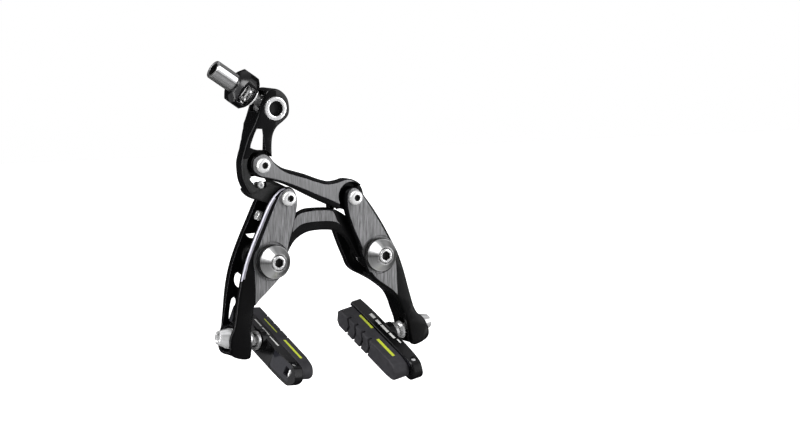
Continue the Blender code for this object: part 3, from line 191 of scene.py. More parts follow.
class Material(Nodes):
    """A Principled material; place is the point in the object's axes, in metres."""

    def __init__(self, name):
        self.material = bpy.data.materials.new(name)
        self.material.use_nodes = True
        super().__init__(self.material.node_tree)
        output = self.new('ShaderNodeOutputMaterial')
        self.surface = self.new('ShaderNodeBsdfPrincipled')
        self.tree.links.new(self.surface.outputs[0], output.inputs[0])
        self.place = self.new('ShaderNodeTexCoord').outputs['Object']

    def noise(self, scale, detail, rough=0.5, at=None):
        node = self.new('ShaderNodeTexNoise')
        self.put(node.inputs['Vector'], self.place if at is None else at)
        node.inputs['Scale'].default_value = scale
        node.inputs['Detail'].default_value = detail
        node.inputs['Roughness'].default_value = rough
        return node.outputs[0]

    def cells(self, scale):
        node = self.new('ShaderNodeTexVoronoi')
        self.put(node.inputs['Vector'], self.place)
        node.inputs['Scale'].default_value = scale
        return node.outputs['Distance']

    def combine(self, x, y, z):
        node = self.new('ShaderNodeCombineXYZ')
        for k, value in enumerate((x, y, z)):
            self.put(node.inputs[k], value)
        return node.outputs[0]

    def streaks(self, across, along, scales, detail, rough=0.5):
        """Noise scaled separately in two directions."""
        at = self.combine(self.times(across, scales[0]), 0.0, self.times(along, scales[1]))
        return self.noise(scale=1.0, detail=detail, rough=rough, at=at)

    def mix(self, factor, first, second):
        node = self.new('ShaderNodeMix')
        node.data_type = 'RGBA'
        for k, value in ((0, factor), (6, first), (7, second)):
            self.put(node.inputs[k], value)
        return node.outputs[2]

    def rounded(self, radius):
        """Normal with hard edges rounded by radius (mm)."""
        node = self.new('ShaderNodeBevel')
        node.samples = 4
        node.inputs['Radius'].default_value = radius * MM
        return node.outputs[0]

    def edge(self, radius):
        """1 near hard edges, 0 on open surface."""
        normal = self.new('ShaderNodeNewGeometry').outputs['Normal']
        return self.remap(self.dot(self.rounded(radius), normal), span=(0.995, 0.90))

    def relief(self, height, strength, depth, radius):
        """Bump of a depth over edges rounded by a radius, both in mm."""
        node = self.new('ShaderNodeBump')
        node.inputs['Strength'].default_value = strength
        node.inputs['Distance'].default_value = depth * MM
        self.put(node.inputs['Height'], height)
        self.put(node.inputs['Normal'], self.rounded(radius))
        return node.outputs[0]

    def finish(self, **inputs):
        """Set the Principled inputs, with _ for a space, and return the material."""
        for name, value in inputs.items():
            self.put(self.surface.inputs[name.replace('_', ' ')], value)
        return self.material


def grey(value, tint=(1, 1, 1)):
    return (value * tint[0], value * tint[1], value * tint[2], 1)


# ------------------------------------------------------------ materials
def anodised(name, base, rough, grain, specular):
    """Gloss black anodised aluminium with faint grain and edges lightened by wear and by painted
    edge highlights.
    """
    mat = Material(name)
    broad = mat.noise(scale=90, detail=2)
    fine = mat.noise(scale=4200, detail=2)
    patches = mat.noise(scale=260, detail=4, rough=0.65)
    # edges greyed in noise patches: partly wear, partly painted edge highlight
    wear_and_highlight = mat.times(mat.edge(radius=0.16),
                     mat.remap(patches, span=(0.36, 0.62), to=(0.05, 0.75)))
    colour = mat.mix(mat.remap(broad), grey(base, tint=(0.95, 0.95, 1.1)),
                     grey(base * 1.7, tint=(1, 1, 1.12)))
    return mat.finish(
        Base_Color=mat.mix(wear_and_highlight, colour, grey(0.30, tint=(1, 0.98, 1.05))),
        Metallic=mat.times(wear_and_highlight, 0.9),
        Roughness=mat.plus(mat.remap(broad, to=(rough * 0.8, rough * 1.3)),
                           mat.times(fine, grain)),
        Normal=mat.relief(fine, strength=0.10, depth=0.03, radius=0.22),
        Specular_IOR_Level=specular)


def machined(name, level, streak=1.0, tint=(1, 1, 1.01)):
    """Bare facet: slightly wavy cutter marks run along Z."""
    mat = Material(name)
    across = mat.dot(mat.place, (1, 0, 0))
    along = mat.dot(mat.place, (0, 0, 1))
    wave = mat.streaks(across, along, scales=(60.0, 55.0), detail=2)
    wavy = mat.plus(across, mat.times(wave, 0.0016))
    broad = mat.streaks(wavy, along, scales=(1100.0, 60.0), detail=3, rough=0.6)
    fine = mat.streaks(wavy, along, scales=(3900.0, 150.0), detail=3, rough=0.6)
    marks = mat.plus(mat.times(broad, 0.34), mat.times(fine, 0.66))
    contrast = 0.62 * streak
    return mat.finish(
        Base_Color=mat.mix(mat.remap(marks, span=(0.38, 0.62)),
                           grey(level * (1 - contrast), tint),
                           grey(level * (1 + contrast), tint)),
        Metallic=0.90,
        Roughness=mat.remap(fine, to=(0.40, 0.56)),
        Normal=mat.relief(marks, strength=0.10 * streak, depth=0.05, radius=0.18),
        Anisotropic=0.2)


def turned_metal(name, level, rough, origin, aniso, axis=(0, 1, 0), rings=0.25, metal=0.70,
                 sectors=None, sector_axes=None):
    """Lathe-turned metal: fine rings round the axis through origin (metres).

    sectors are (turn from 0 to 1, brightness) stops of painted reflections round the axis."""
    mat = Material(name)
    from_origin = mat.vector_math('SUBTRACT', mat.place, tuple(origin))
    axis = tuple(Vector(axis).normalized())
    height = mat.dot(from_origin, axis)
    lift = mat.vector_math('MULTIPLY', mat.combine(height, height, height), axis)
    radial = mat.vector_math('SUBTRACT', from_origin, lift)
    radius = mat.vector_math('LENGTH', radial, output='Value')
    ring = mat.streaks(radius, height, scales=(5200.0, 5200.0), detail=2)
    smudge = mat.noise(scale=160, detail=3)
    tangent = mat.vector_math('NORMALIZE', mat.vector_math('CROSS_PRODUCT', axis, radial))
    ring_span = (0.35, 0.65)
    colour = mat.mix(mat.remap(ring, span=ring_span), grey(level * 0.9),
                     grey(min(level * 1.08, 0.95)))
    if sectors:
        # painted reflections: the wedges of light that lathe marks throw round the axis are
        # painted into the base colour
        first_axis, second_axis = sector_axes
        angle = mat.math('ARCTAN2', mat.dot(radial, second_axis), mat.dot(radial, first_axis))
        turn = mat.plus(mat.times(angle, 0.5 / math.pi), 0.5)
        wobble = mat.math('SUBTRACT', mat.noise(scale=900, detail=2), 0.5)
        ramp = mat.new('ShaderNodeValToRGB')
        elements = ramp.color_ramp.elements
        first, *middle, last = sectors
        for element, (position, value) in zip(elements, (first, last)):
            element.position = position
            element.color = grey(value)
        for position, value in middle:
            elements.new(position).color = grey(value)
        mat.put(ramp.inputs[0], mat.plus(turn, mat.times(wobble, 0.015)))
        painted_wedges = mat.mix(mat.remap(ring, span=ring_span, to=(0, 0.12)), ramp.outputs[0],
                         grey(level))
        colour = mat.mix(0.95, colour, painted_wedges)
    return mat.finish(
        Base_Color=colour, Metallic=metal,
        Roughness=mat.plus(rough * 0.75, mat.times(smudge, rough * 0.5)),
        Normal=mat.relief(ring, strength=rings, depth=0.02, radius=0.15),
        Tangent=tangent, Anisotropic=aniso)


def turned_on_y(name, at, **look):
    """Turned metal round the Y line through at (x, z in mm)."""
    return turned_metal(name, origin=(at[0] * MM + SHIFT_X, 0, at[1] * MM), **look)


def in_frame(point):
    """A point drawn in mm as metres in the frame's axes."""
    return (SHIFT @ Matrix.Translation(point * MM)).translation


def steel(name, level, rough, metal=0.75):
    mat = Material(name)
    broad = mat.noise(scale=700, detail=3)
    fine = mat.noise(scale=5200, detail=2)
    # painted edge highlight: colour made lighter along hard edges
    wear_and_highlight = mat.times(mat.edge(radius=0.2), 0.5)
    colour = mat.mix(mat.remap(broad), grey(level * 0.85), grey(min(0.97, level * 1.12)))
    return mat.finish(
        Base_Color=mat.mix(wear_and_highlight, colour, grey(min(0.92, level * 1.5))),
        Metallic=metal,
        Roughness=mat.remap(broad, to=(rough * 0.7, rough * 1.4)),
        Normal=mat.relief(fine, strength=0.12, depth=0.02, radius=0.18))


def black_oxide(name, base=0.012, rough=0.34):
    mat = Material(name)
    broad = mat.noise(scale=420, detail=4)
    fine = mat.noise(scale=6000, detail=2)
    # edges grey in noise patches: partly wear, partly painted edge highlight
    wear_and_highlight = mat.times(mat.edge(radius=0.22), mat.remap(broad, span=(0.42, 0.7), to=(0, 0.55)))
    colour = mat.mix(mat.remap(broad), grey(base), grey(base * 2.2))
    return mat.finish(
        Base_Color=mat.mix(wear_and_highlight, colour, grey(0.22)),
        Metallic=mat.times(wear_and_highlight, 0.8),
        Roughness=mat.remap(broad, to=(rough * 0.8, rough * 1.3)),
        Normal=mat.relief(fine, strength=0.2, depth=0.03, radius=0.2),
        Specular_IOR_Level=0.28)


def granular(name, base):
    """Blasted and anodised surface with a coarse sparkle."""
    mat = Material(name)
    grains = mat.cells(scale=3600)
    broad = mat.noise(scale=2400, detail=3)
    return mat.finish(
        Base_Color=mat.mix(mat.remap(broad, span=(0.35, 0.68)), grey(base * 0.45),
                           grey(base * 2.3)),
        Metallic=0.3,
        Roughness=mat.remap(broad, to=(0.42, 0.62)),
        Normal=mat.relief(grains, strength=0.45, depth=0.08, radius=0.22))


def printed(mat, colour, rough, pad_matrix, patches):
    """Lay printed patches over a colour and a roughness.

    Patches are (x0, x1, y0, y1, z0, z1, colour), mm in the pad's own axes."""
    inverse = pad_matrix.inverted()
    local = [mat.times(mat.plus(mat.dot(mat.place, tuple(row[:3])), row[3]), 1000.0)
             for row in inverse[:3]]
    wobble = mat.times(mat.math('SUBTRACT', mat.noise(scale=2600, detail=2), 0.5), 0.12)
    for *limits, ink in patches:
        mask = None
        for value, low, high in zip(local, limits[::2], limits[1::2]):
            value = mat.plus(value, wobble)
            inside = mat.times(mat.math('GREATER_THAN', value, low),
                               mat.math('LESS_THAN', value, high))
            mask = inside if mask is None else mat.times(mask, inside)
        wear = mat.remap(mat.noise(scale=1500, detail=4, rough=0.7), span=(0.30, 0.42),
                         to=(0.55, 1.0))
        mask = mat.times(mask, wear)
        colour = mat.mix(mask, colour, (*ink, 1))
        rough = mat.plus(rough, mat.times(mask, -0.12))
    return colour, rough


def rubber(name, base, pad_matrix, patches):
    """Moulded brake rubber with printed patches."""
    mat = Material(name)
    broad = mat.noise(scale=380, detail=4)
    fine = mat.noise(scale=7000, detail=3, rough=0.6)
    colour = mat.mix(mat.remap(broad), grey(base * 0.8, tint=(0.98, 0.95, 1.12)),
                     grey(base * 1.25, tint=(1, 0.97, 1.12)))
    colour, rough = printed(mat, colour, mat.remap(fine, to=(0.50, 0.66)), pad_matrix, patches)
    return mat.finish(
        Base_Color=colour, Metallic=0.0, Roughness=rough,
        Normal=mat.relief(fine, strength=0.25, depth=0.05, radius=0.3),
        Specular_IOR_Level=0.28)


def holder_gloss(name, pad_matrix, patches):
    """Gloss black of the pad holders, with printed patches."""
    mat = Material(name)
    broad = mat.noise(scale=160, detail=3)
    fine = mat.noise(scale=5200, detail=2)
    # edges grey in noise patches: partly wear, partly painted edge highlight
    wear_and_highlight = mat.times(mat.edge(radius=0.22), mat.remap(broad, span=(0.45, 0.7), to=(0, 0.4)))
    cool = (1, 1, 1.1)
    colour = mat.mix(mat.remap(broad), grey(0.0015, cool), grey(0.0028, cool))
    colour = mat.mix(wear_and_highlight, colour, grey(0.12))
    colour, rough = printed(mat, colour, mat.remap(broad, to=(0.17, 0.27)), pad_matrix, patches)
    return mat.finish(
        Base_Color=colour, Roughness=rough,
        Normal=mat.relief(fine, strength=0.1, depth=0.03, radius=0.25),
        Specular_IOR_Level=0.22)


BLACK = anodised("black_anodised_gloss", base=0.0010, rough=0.16, grain=0.12, specular=0.14)
BLACK_LEVER = anodised("lever_anodised_gloss", base=0.0012, rough=0.14, grain=0.10,
                       specular=0.18)
FACET = machined("machined_facet", level=0.23)
FACET_LINK = machined("machined_link_facet", level=0.24, streak=0.5)
# bare chamfer metal painted brighter and lilac: a painted highlight on the left arm's outer front
# edge
CHAMFER_HIGHLIGHT = machined("machined_chamfer_highlight", level=0.42, streak=0.2, tint=(1, 0.98, 1.1))
GRAIN = granular("blasted_grain", base=0.012)
STEEL = steel("bright_steel", level=0.72, rough=0.22)
STEEL_DARK = steel("dull_steel", level=0.38, rough=0.30)
OXIDE = black_oxide("black_oxide_steel")
# painted shade: near-black for the walls of sockets, bores and the barrel's mouth
SOCKET_SHADE = black_oxide("socket_shadow", base=0.004, rough=0.5)
KNOB = anodised("knob_gloss_black", base=0.0010, rough=0.14, grain=0.08, specular=0.2)
# painted light: the spring's wire is brighter than the other steel so it reads lit inside the
# knob's shaded window
BRIGHTENED_COIL = steel("spring_wire_painted_bright", level=0.92, rough=0.25, metal=0.45)


# ------------------------------------------------------------ outlines
def hermite(start, end, start_slope, end_slope, steps):
    """Points of one curve piece, without its end."""
    points = []
    for step in range(steps):
        t = step / steps
        point = (start * (2 * t**3 - 3 * t**2 + 1) + start_slope * (t**3 - 2 * t**2 + t)
                 + end * (-2 * t**3 + 3 * t**2) + end_slope * (t**3 - t**2))
        points.append((point.x, point.y))
    return points


def smooth(points, steps):
    """Closed Catmull-Rom line; a point with a third value 's' stays sharp."""
    line = []
    count = len(points)
    for i in range(count):
        corners = [points[(i + k) % count] for k in (-1, 0, 1, 2)]
        before, start, end, after = (Vector(corner[:2]) for corner in corners)
        start_sharp, end_sharp = len(corners[1]) > 2, len(corners[2]) > 2
        start_slope = (end - start) if start_sharp else (end - before) / 2
        end_slope = (end - start) if end_sharp else (after - start) / 2
        line += hermite(start, end, start_slope, end_slope, steps)
    return line


def open_smooth(points, steps):
    """Catmull-Rom line from the first point to the last."""
    line = []
    last = len(points) - 1
    for i in range(last):
        before, start, end, after = (
            Vector(points[k]) for k in (max(i - 1, 0), i, i + 1, min(i + 2, last)))
        line += hermite(start, end, (end - before) / 2, (after - start) / 2, steps)
    return line + [tuple(points[-1])]


def inset(line, distance):
    """Closed line moved inwards."""
    area = sum(line[i - 1][0] * line[i][1] - line[i][0] * line[i - 1][1]
               for i in range(len(line)))
    sign = 1 if area > 0 else -1
    moved = []
    for i in range(len(line)):
        before, here, after = (Vector(line[i - 1]), Vector(line[i]),
                               Vector(line[(i + 1) % len(line)]))
        along = ((here - before).normalized() + (after - here).normalized()).normalized()
        moved.append((here.x - sign * along.y * distance, here.y + sign * along.x * distance))
    return moved


def circle(centre, radius, count):
    return [(centre[0] + radius * math.cos(2 * math.pi * i / count),
             centre[1] + radius * math.sin(2 * math.pi * i / count)) for i in range(count)]


# ------------------------------------------------------------ solid shapes
def fresh(mesh, matrix=Matrix()):
    shape = bpy.data.objects.new("shape", mesh)
    WORK.objects.link(shape)
    shape.matrix_world = matrix
    return shape


def boolean(shape, operation, others):
    for other in others:
        modifier = shape.modifiers.new(operation, 'BOOLEAN')
        modifier.operation = operation
        modifier.object = other
        modifier.solver = 'EXACT'
    return shape


def cut(shape, *others):
    return boolean(shape, 'DIFFERENCE', others)


def add(shape, *others):
    return boolean(shape, 'UNION', others)


def evaluated_mesh(shape):
    bpy.context.view_layer.update()
    graph = bpy.context.evaluated_depsgraph_get()
    return bpy.data.meshes.new_from_object(shape.evaluated_get(graph))


def tidy(mesh, weld=1e-6, flat_angle=0, split_big=False):
    """Weld points, dissolve near-flat edges, split big faces and face outwards."""
    bm = bmesh.new()
    bm.from_mesh(mesh)
    bmesh.ops.remove_doubles(bm, verts=bm.verts, dist=weld)
    if flat_angle:
        bmesh.ops.dissolve_limit(bm, angle_limit=flat_angle, verts=bm.verts, edges=bm.edges)
    if split_big:
        bmesh.ops.triangulate(bm, faces=[face for face in bm.faces if len(face.verts) > 4],
                              quad_method='BEAUTY', ngon_method='BEAUTY')
    bmesh.ops.recalc_face_normals(bm, faces=bm.faces)
    bm.to_mesh(mesh)
    bm.free()


def curve_shape(curve, lines, cyclic, matrix=Matrix(), flat_angle=0):
    """Mesh shape of a curve drawn through lines of (x, y, z) in mm."""
    for line in lines:
        spline = curve.splines.new('POLY')
        spline.points.add(len(line) - 1)
        for point, (x, y, z) in zip(spline.points, line):
            point.co = (x * MM, y * MM, z * MM, 1)
        spline.use_cyclic_u = cyclic
    drawn = fresh(curve, matrix)
    mesh = evaluated_mesh(drawn)
    tidy(mesh, flat_angle=flat_angle)
    shape = fresh(mesh, drawn.matrix_world)
    bpy.data.objects.remove(drawn, do_unlink=True)
    return shape


def plate(outline, y0, y1, holes=(), matrix=Matrix(), bevel=0.0, res=2):
    """Flat shape in the XZ plane between depths y0 and y1, with rounded edges."""
    curve = bpy.data.curves.new("outline", 'CURVE')
    curve.dimensions = '2D'
    curve.fill_mode = 'BOTH'
    curve.extrude = (abs(y1 - y0) / 2 - bevel) * MM
    if bevel > 0:
        curve.bevel_depth = bevel * MM
        curve.bevel_resolution = res
        curve.offset = -bevel * MM
    upright = (Matrix.Translation((0, (y0 + y1) / 2 * MM, 0))
               @ Matrix.Rotation(math.pi / 2, 4, 'X'))
    lines = [[(x, z, 0) for x, z in line] for line in (outline, *holes)]
    return curve_shape(curve, lines, True, matrix @ upright, flat_angle=0.002)


def wire(points, radius):
    curve = bpy.data.curves.new("path", 'CURVE')
    curve.dimensions = '3D'
    curve.bevel_depth = radius * MM
    curve.bevel_resolution = 3
    curve.use_fill_caps = True
    return curve_shape(curve, [points], False)


def side_cut(outline):
    """Cutter right across the caliper from a (y, z) outline."""
    return plate(outline, -80, 80, matrix=Matrix.Rotation(math.pi / 2, 4, 'Z'))


def slanted(outline, y_end, x_drift, z_drift):
    """Prism from just ahead of the lever to y_end, drifting sideways with depth.

    The outline is given at depth LEVER_FRONT."""
    points = []
    for y in (LEVER_FRONT - 0.5, y_end):
        depth = y - LEVER_FRONT
        points += [((x + x_drift * depth) * MM, y * MM, (z + z_drift * depth) * MM)
                   for x, z in outline]
    n = len(outline)
    faces = [list(range(n)), list(range(2 * n - 1, n - 1, -1))]
    faces += [[(i + 1) % n, i, n + i, n + (i + 1) % n] for i in range(n)]
    mesh = bpy.data.meshes.new("prism")
    mesh.from_pydata(points, [], faces)
    tidy(mesh)
    return fresh(mesh)


def axis_matrix(place, axis):
    """Local Z along an axis, origin at a place in mm."""
    turn = Vector((0, 0, 1)).rotation_difference(Vector(axis))
    return Matrix.Translation(Vector(place) * MM) @ turn.to_matrix().to_4x4()


def rod(radius, start, end, segments=48, matrix=Matrix()):
    start, end = Vector(start), Vector(end)
    mesh = bpy.data.meshes.new("rod")
    bm = bmesh.new()
    bmesh.ops.create_cone(bm, cap_ends=True, segments=segments, radius1=radius * MM,
                          radius2=radius * MM, depth=(end - start).length * MM)
    bm.to_mesh(mesh)
    bm.free()
    return fresh(mesh, matrix @ axis_matrix((start + end) / 2, end - start))


def rod_y(radius, at, y0=CLEAR_FRONT, y1=CLEAR_REAR, segments=48, matrix=Matrix()):
    """Rod along Y through at (x, z)."""
    return rod(radius, (at[0], y0, at[1]), (at[0], y1, at[1]), segments, matrix)


def box(low, high, matrix):
    low, high = Vector(low), Vector(high)
    mesh = bpy.data.meshes.new("box")
    bm = bmesh.new()
    bmesh.ops.create_cube(bm, size=1.0)
    bmesh.ops.scale(bm, vec=(high - low) * MM, verts=bm.verts)
    bmesh.ops.translate(bm, vec=(low + high) / 2 * MM, verts=bm.verts)
    bm.to_mesh(mesh)
    bm.free()
    return fresh(mesh, matrix)


def turned(profile, matrix, segments=72, ring=False):
    """Revolve a profile of (radius, height) pairs round local Z; a ring's profile closes."""
    mesh = bpy.data.meshes.new("turned")
    edges = [(i, i + 1) for i in range(len(profile) - 1)]
    if ring:
        edges.append((len(profile) - 1, 0))
    mesh.from_pydata([(radius * MM, 0, height * MM) for radius, height in profile], edges, [])
    shape = fresh(mesh, matrix)
    screw = shape.modifiers.new("screw", 'SCREW')
    screw.axis = 'Z'
    screw.steps = segments
    screw.render_steps = segments
    screw.use_merge_vertices = True
    screw.merge_threshold = 1e-6
    return shape


def on_y(profile, at, segments=72, ring=False):
    """Revolve (radius, y) pairs round the Y line through at (x, z)."""
    matrix = Matrix.Translation((at[0] * MM, 0, at[1] * MM)) @ TO_Y
    return turned(profile, matrix, segments, ring)


def piece(shape, node, materials, pick=None, angle=32, clean=0.6):
    """Bake a shape, give it materials and let it stand for its CAD node.

    pick(face centre in mm, normal) returns the index into materials; faces meeting at more
    than angle degrees stay sharp, those within clean degrees are joined."""
    mesh = evaluated_mesh(shape)
    mesh.transform(shape.matrix_world.copy())
    tidy(mesh, weld=2e-6, flat_angle=math.radians(clean), split_big=True)
    mesh.materials.clear()
    for material in materials:
        mesh.materials.append(material)
    if pick is not None:
        for face in mesh.polygons:
            face.material_index = pick(face.center * 1000, face.normal)
    mesh.transform(SHIFT)
    mesh.shade_smooth()
    mesh.set_sharp_from_angle(angle=math.radians(angle))
    new = bpy.data.objects.new(node + "_fine", mesh)
    DONE.objects.link(new)
    weighted = new.modifiers.new("weighted", 'WEIGHTED_NORMAL')
    weighted.keep_sharp = True
    weighted.weight = 80
    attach(new, NODE_BODY[node])
    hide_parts(node)


def facet_picker(limit):
    """Front facets ahead of a depth are bare metal (1), the rest is black (0)."""
    return lambda centre, normal: int(centre.y < limit and normal.y < -0.5)


def socket_picker(at, y0, y1, radius):
    """Faces near the Y line through at, between two depths, are socket walls (1)."""
    return lambda centre, normal: int(
        y0 < centre.y < y1 and math.hypot(centre.x - at[0], centre.z - at[1]) < radius)


# ------------------------------------------------------------ arms
LEFT_OUTLINE = [
    (-19.2, 33.5), (-22.5, 32.6), (-25.6, 30.2), (-28.9, 25.6), (-32.4, 18.2), (-35.4, 12.0),
    (-38.2, 5.7), (-40.4, 0.0), (-41.9, -5.0), (-43.0, -10.0), (-44.3, -17.2), (-45.4, -25.0),
    (-46.4, -30.0), (-48.2, -34.0), (-48.3, -40.0), (-46.2, -43.2), (-41.0, -44.6),
    (-38.0, -43.6), (-37.4, -39.0), (-37.9, -32.0), (-37.0, -25.5), (-36.3, -20.6),
    (-34.0, -17.6), (-29.9, -14.3), (-23.7, -8.6), (-20.5, -5.0), (-19.0, 0.0), (-18.9, 5.5),
    (-16.6, 13.7), (-15.0, 20.5), (-14.2, 27.0), (-15.3, 31.0), (-17.1, 32.9)]
LEFT_FACET = [
    (-19.2, 32.8), (-22.1, 31.5), (-24.5, 28.4), (-27.6, 21.8), (-31.0, 14.2), (-33.8, 7.6),
    (-35.7, 1.5), (-36.4, -4.0), (-36.1, -12.0), (-36.2, -19.8, 's'), (-33.7, -17.1),
    (-29.8, -13.7), (-24.0, -8.2), (-21.2, -4.8), (-19.8, 0.0), (-19.7, 5.5), (-17.4, 13.7),
    (-15.8, 20.5), (-15.0, 27.0), (-16.0, 30.6), (-17.4, 32.2)]
LEFT_WINDOWS = [
    [(-33.8, 11.3, 's'), (-32.0, 9.6), (-28.0, 8.9), (-24.0, 9.6), (-21.5, 11.3, 's'),
     (-25.0, 11.6), (-29.0, 11.5)],
    [(-39.2, -7.0), (-37.4, -6.2), (-34.0, -8.6), (-31.5, -11.0), (-33.0, -12.6),
     (-36.5, -13.6), (-39.0, -12.0), (-39.8, -9.5)],
    [(-41.0, -18.0), (-38.6, -18.2), (-38.3, -21.0), (-39.6, -28.0), (-42.4, -28.2),
     (-42.2, -23.0)]]
# inner wall of the lower leg and the block that carries the pad
LEFT_LEG = [
    (-36.7, -20.8), (-34.6, -17.8), (-31.8, -15.4), (-33.2, -14.4), (-36.8, -17.4),
    (-39.3, -22.0), (-40.6, -29.0), (-46.0, -30.6), (-47.9, -34.2), (-48.0, -39.8),
    (-46.0, -42.9), (-41.1, -44.3), (-38.4, -43.3), (-37.8, -39.0), (-38.3, -32.0),
    (-37.4, -25.5)]

RIGHT_OUTLINE = [
    (14.8, 32.2), (17.9, 31.0), (20.7, 27.6), (25.9, 20.9), (31.1, 13.1), (35.0, 6.4),
    (38.5, 0.1), (41.8, -8.6), (44.7, -18.2), (48.0, -27.4), (52.6, -31.6), (55.3, -37.0),
    (54.6, -41.0), (49.0, -43.9), (45.9, -43.0), (44.6, -38.0), (43.2, -32.0), (40.6, -26.0),
    (38.3, -21.2), (35.2, -18.1), (30.4, -14.9), (26.0, -11.7), (23.2, -8.2), (21.0, -3.6),
    (19.2, 1.0), (17.2, 6.2), (13.9, 13.0), (11.3, 19.5), (9.9, 25.5), (10.2, 29.2),
    (12.1, 31.4)]
RIGHT_REAR = [
    (14.8, 32.7), (18.0, 31.2), *RIGHT_OUTLINE[2:16],       # shares the outer edge
    (43.3, -32.0), (41.8, -25.8), (38.8, -19.6), (33.1, -14.9), (27.8, -11.8), (22.4, -9.1),
    (19.5, -6.6), (17.6, -2.6), (14.9, 3.2), (12.3, 9.5), (9.9, 16.0), (9.1, 21.0),
    (9.1, 27.0), (10.6, 31.0)]
RIGHT_FACET = [
    (14.9, 31.6), (17.5, 30.2), (19.9, 27.0), (24.9, 19.9), (30.0, 12.2), (33.2, 6.2),
    (35.6, 0.6), (36.9, -4.0), (37.4, -11.0), (37.9, -19.6, 's'), (35.1, -17.0),
    (30.4, -13.8), (26.3, -10.8), (23.9, -7.6), (21.8, -3.4), (20.0, 1.2), (18.1, 6.0),
    (14.8, 12.8), (12.3, 19.5), (11.3, 25.5), (11.6, 28.8), (12.9, 30.9)]
RIGHT_WINDOWS = [
    [(12.2, 18.2), (11.7, 20.6), (14.0, 21.6), (18.6, 20.2), (22.4, 16.2), (24.0, 12.6),
     (20.6, 11.0), (15.2, 12.2)],
    [(31.4, -10.2), (34.5, -8.4), (39.6, -10.6), (41.2, -15.5), (40.0, -17.0),
     (35.6, -14.0)]]
RIGHT_LEG = [
    (41.7, -25.6), (39.0, -19.4), (33.4, -14.6), (28.0, -11.4), (28.0, -9.6), (34.6, -12.1),
    (40.8, -17.6), (44.4, -25.0), (48.6, -28.7), (52.3, -31.9), (54.9, -37.0), (54.2, -40.7),
    (49.1, -43.5), (46.3, -42.6), (45.0, -38.0), (43.7, -32.0)]
# slope that thins the legs from behind, as (y, z)
REAR_SLOPE = [(-2.2, -6.0), (-4.4, -28.0), (-5.8, -32.0), (-5.8, -60.0), (8.0, -60.0),
              (8.0, -6.0)]
SLOT_R = 3.0                # end radius of the pad slot
SLOT_HALF = 3.2             # from the slot's middle to each end's centre


def slot_outline():
    """Upright slot with round ends."""
    points = []
    for i in range(32):
        angle = 2 * math.pi * i / 32 + 0.001
        half = SLOT_HALF if math.sin(angle) >= 0 else -SLOT_HALF
        points.append((SLOT_R * math.cos(angle), SLOT_R * math.sin(angle) + half))
    return points


def arm_picker(mount, highlit_chamfer):
    """Facet and bolt flat are bare (1); on a highlit_chamfer arm the outer front edge gets the
    painted highlight (2).
    """
    def pick(centre, normal):
        if centre.y < FACET_Y and normal.y < -0.5:
            return 1
        if (normal.y < -0.95 and abs(centre.y - Y_BASE) < 0.05
                and math.hypot(centre.x - mount[0], centre.z) < SPOT_R + 0.2):
            return 1
        # painted highlight on the left arm's outer front chamfer, the faces turned left and
        # forwards
        if (highlit_chamfer and centre.y < -18.75 and normal.y < -0.12 and normal.x < -0.2
                and -8.5 < centre.z < 33 and centre.x < -18 - 0.5 * (33 - centre.z)):
            return 2
        return 0
    return pick


def make_arm(side, sign, outline, rear, windows, facet, leg):
    mount, stud = MOUNT[side], STUD[side]
    arm = plate(smooth(outline, 4), Y_ROUNDED, Y_FRONT_IN, bevel=1.15)
    rear_plate = plate(inset(smooth(rear, 3), 0.15), Y_REAR_IN, Y_REAR,
                       holes=[smooth(window, 3)[::-1] for window in windows],
                       bevel=0.35, res=1)
    leg_wall = plate(smooth(leg, 3), Y_BASE + 1.3, Y_REAR - 1.4, bevel=0.6, res=1)
    face = plate(smooth(facet, 4), Y_FACE, Y_BASE + 0.9, bevel=0.22, res=1)
    add(arm, face, rear_plate, leg_wall)
    at_stud = (Matrix.Translation(Vector((stud[0], STUD_Y, stud[1])) * MM)
               @ Matrix.Rotation(-STUD_TILT[side] * sign, 4, 'Y'))
    inner = sorted((-SEAT_IN * sign, -20.0 * sign))
    outer = sorted((SEAT_OUT * sign, 20.0 * sign))
    cut(arm,
        rod_y(SPOT_R, mount, Y_FACE - 2, Y_BASE, 72),
        rod_y(SLEEVE_R + GAP, mount),
        rod_y(PIVOT_BORE_R, ARM_TOP[side], segments=40),
        side_cut(REAR_SLOPE),
        plate(slot_outline(), -15, 15, matrix=at_stud @ Matrix.Rotation(math.pi / 2, 4, 'Z')),
        # seats for the pad washers
        box((inner[0], -30, -12.0), (inner[1], 20, 8.5), at_stud),
        box((outer[0], -5.1, -6.4), (outer[1], 5.1, 12.0), at_stud))
    piece(arm, side + "_arm", [BLACK, FACET, CHAMFER_HIGHLIGHT],
          arm_picker(mount, highlit_chamfer=side == "left"))


make_arm("left", -1, LEFT_OUTLINE, LEFT_OUTLINE, LEFT_WINDOWS, LEFT_FACET, LEFT_LEG)
make_arm("right", 1, RIGHT_OUTLINE, RIGHT_REAR, RIGHT_WINDOWS, RIGHT_FACET, RIGHT_LEG)

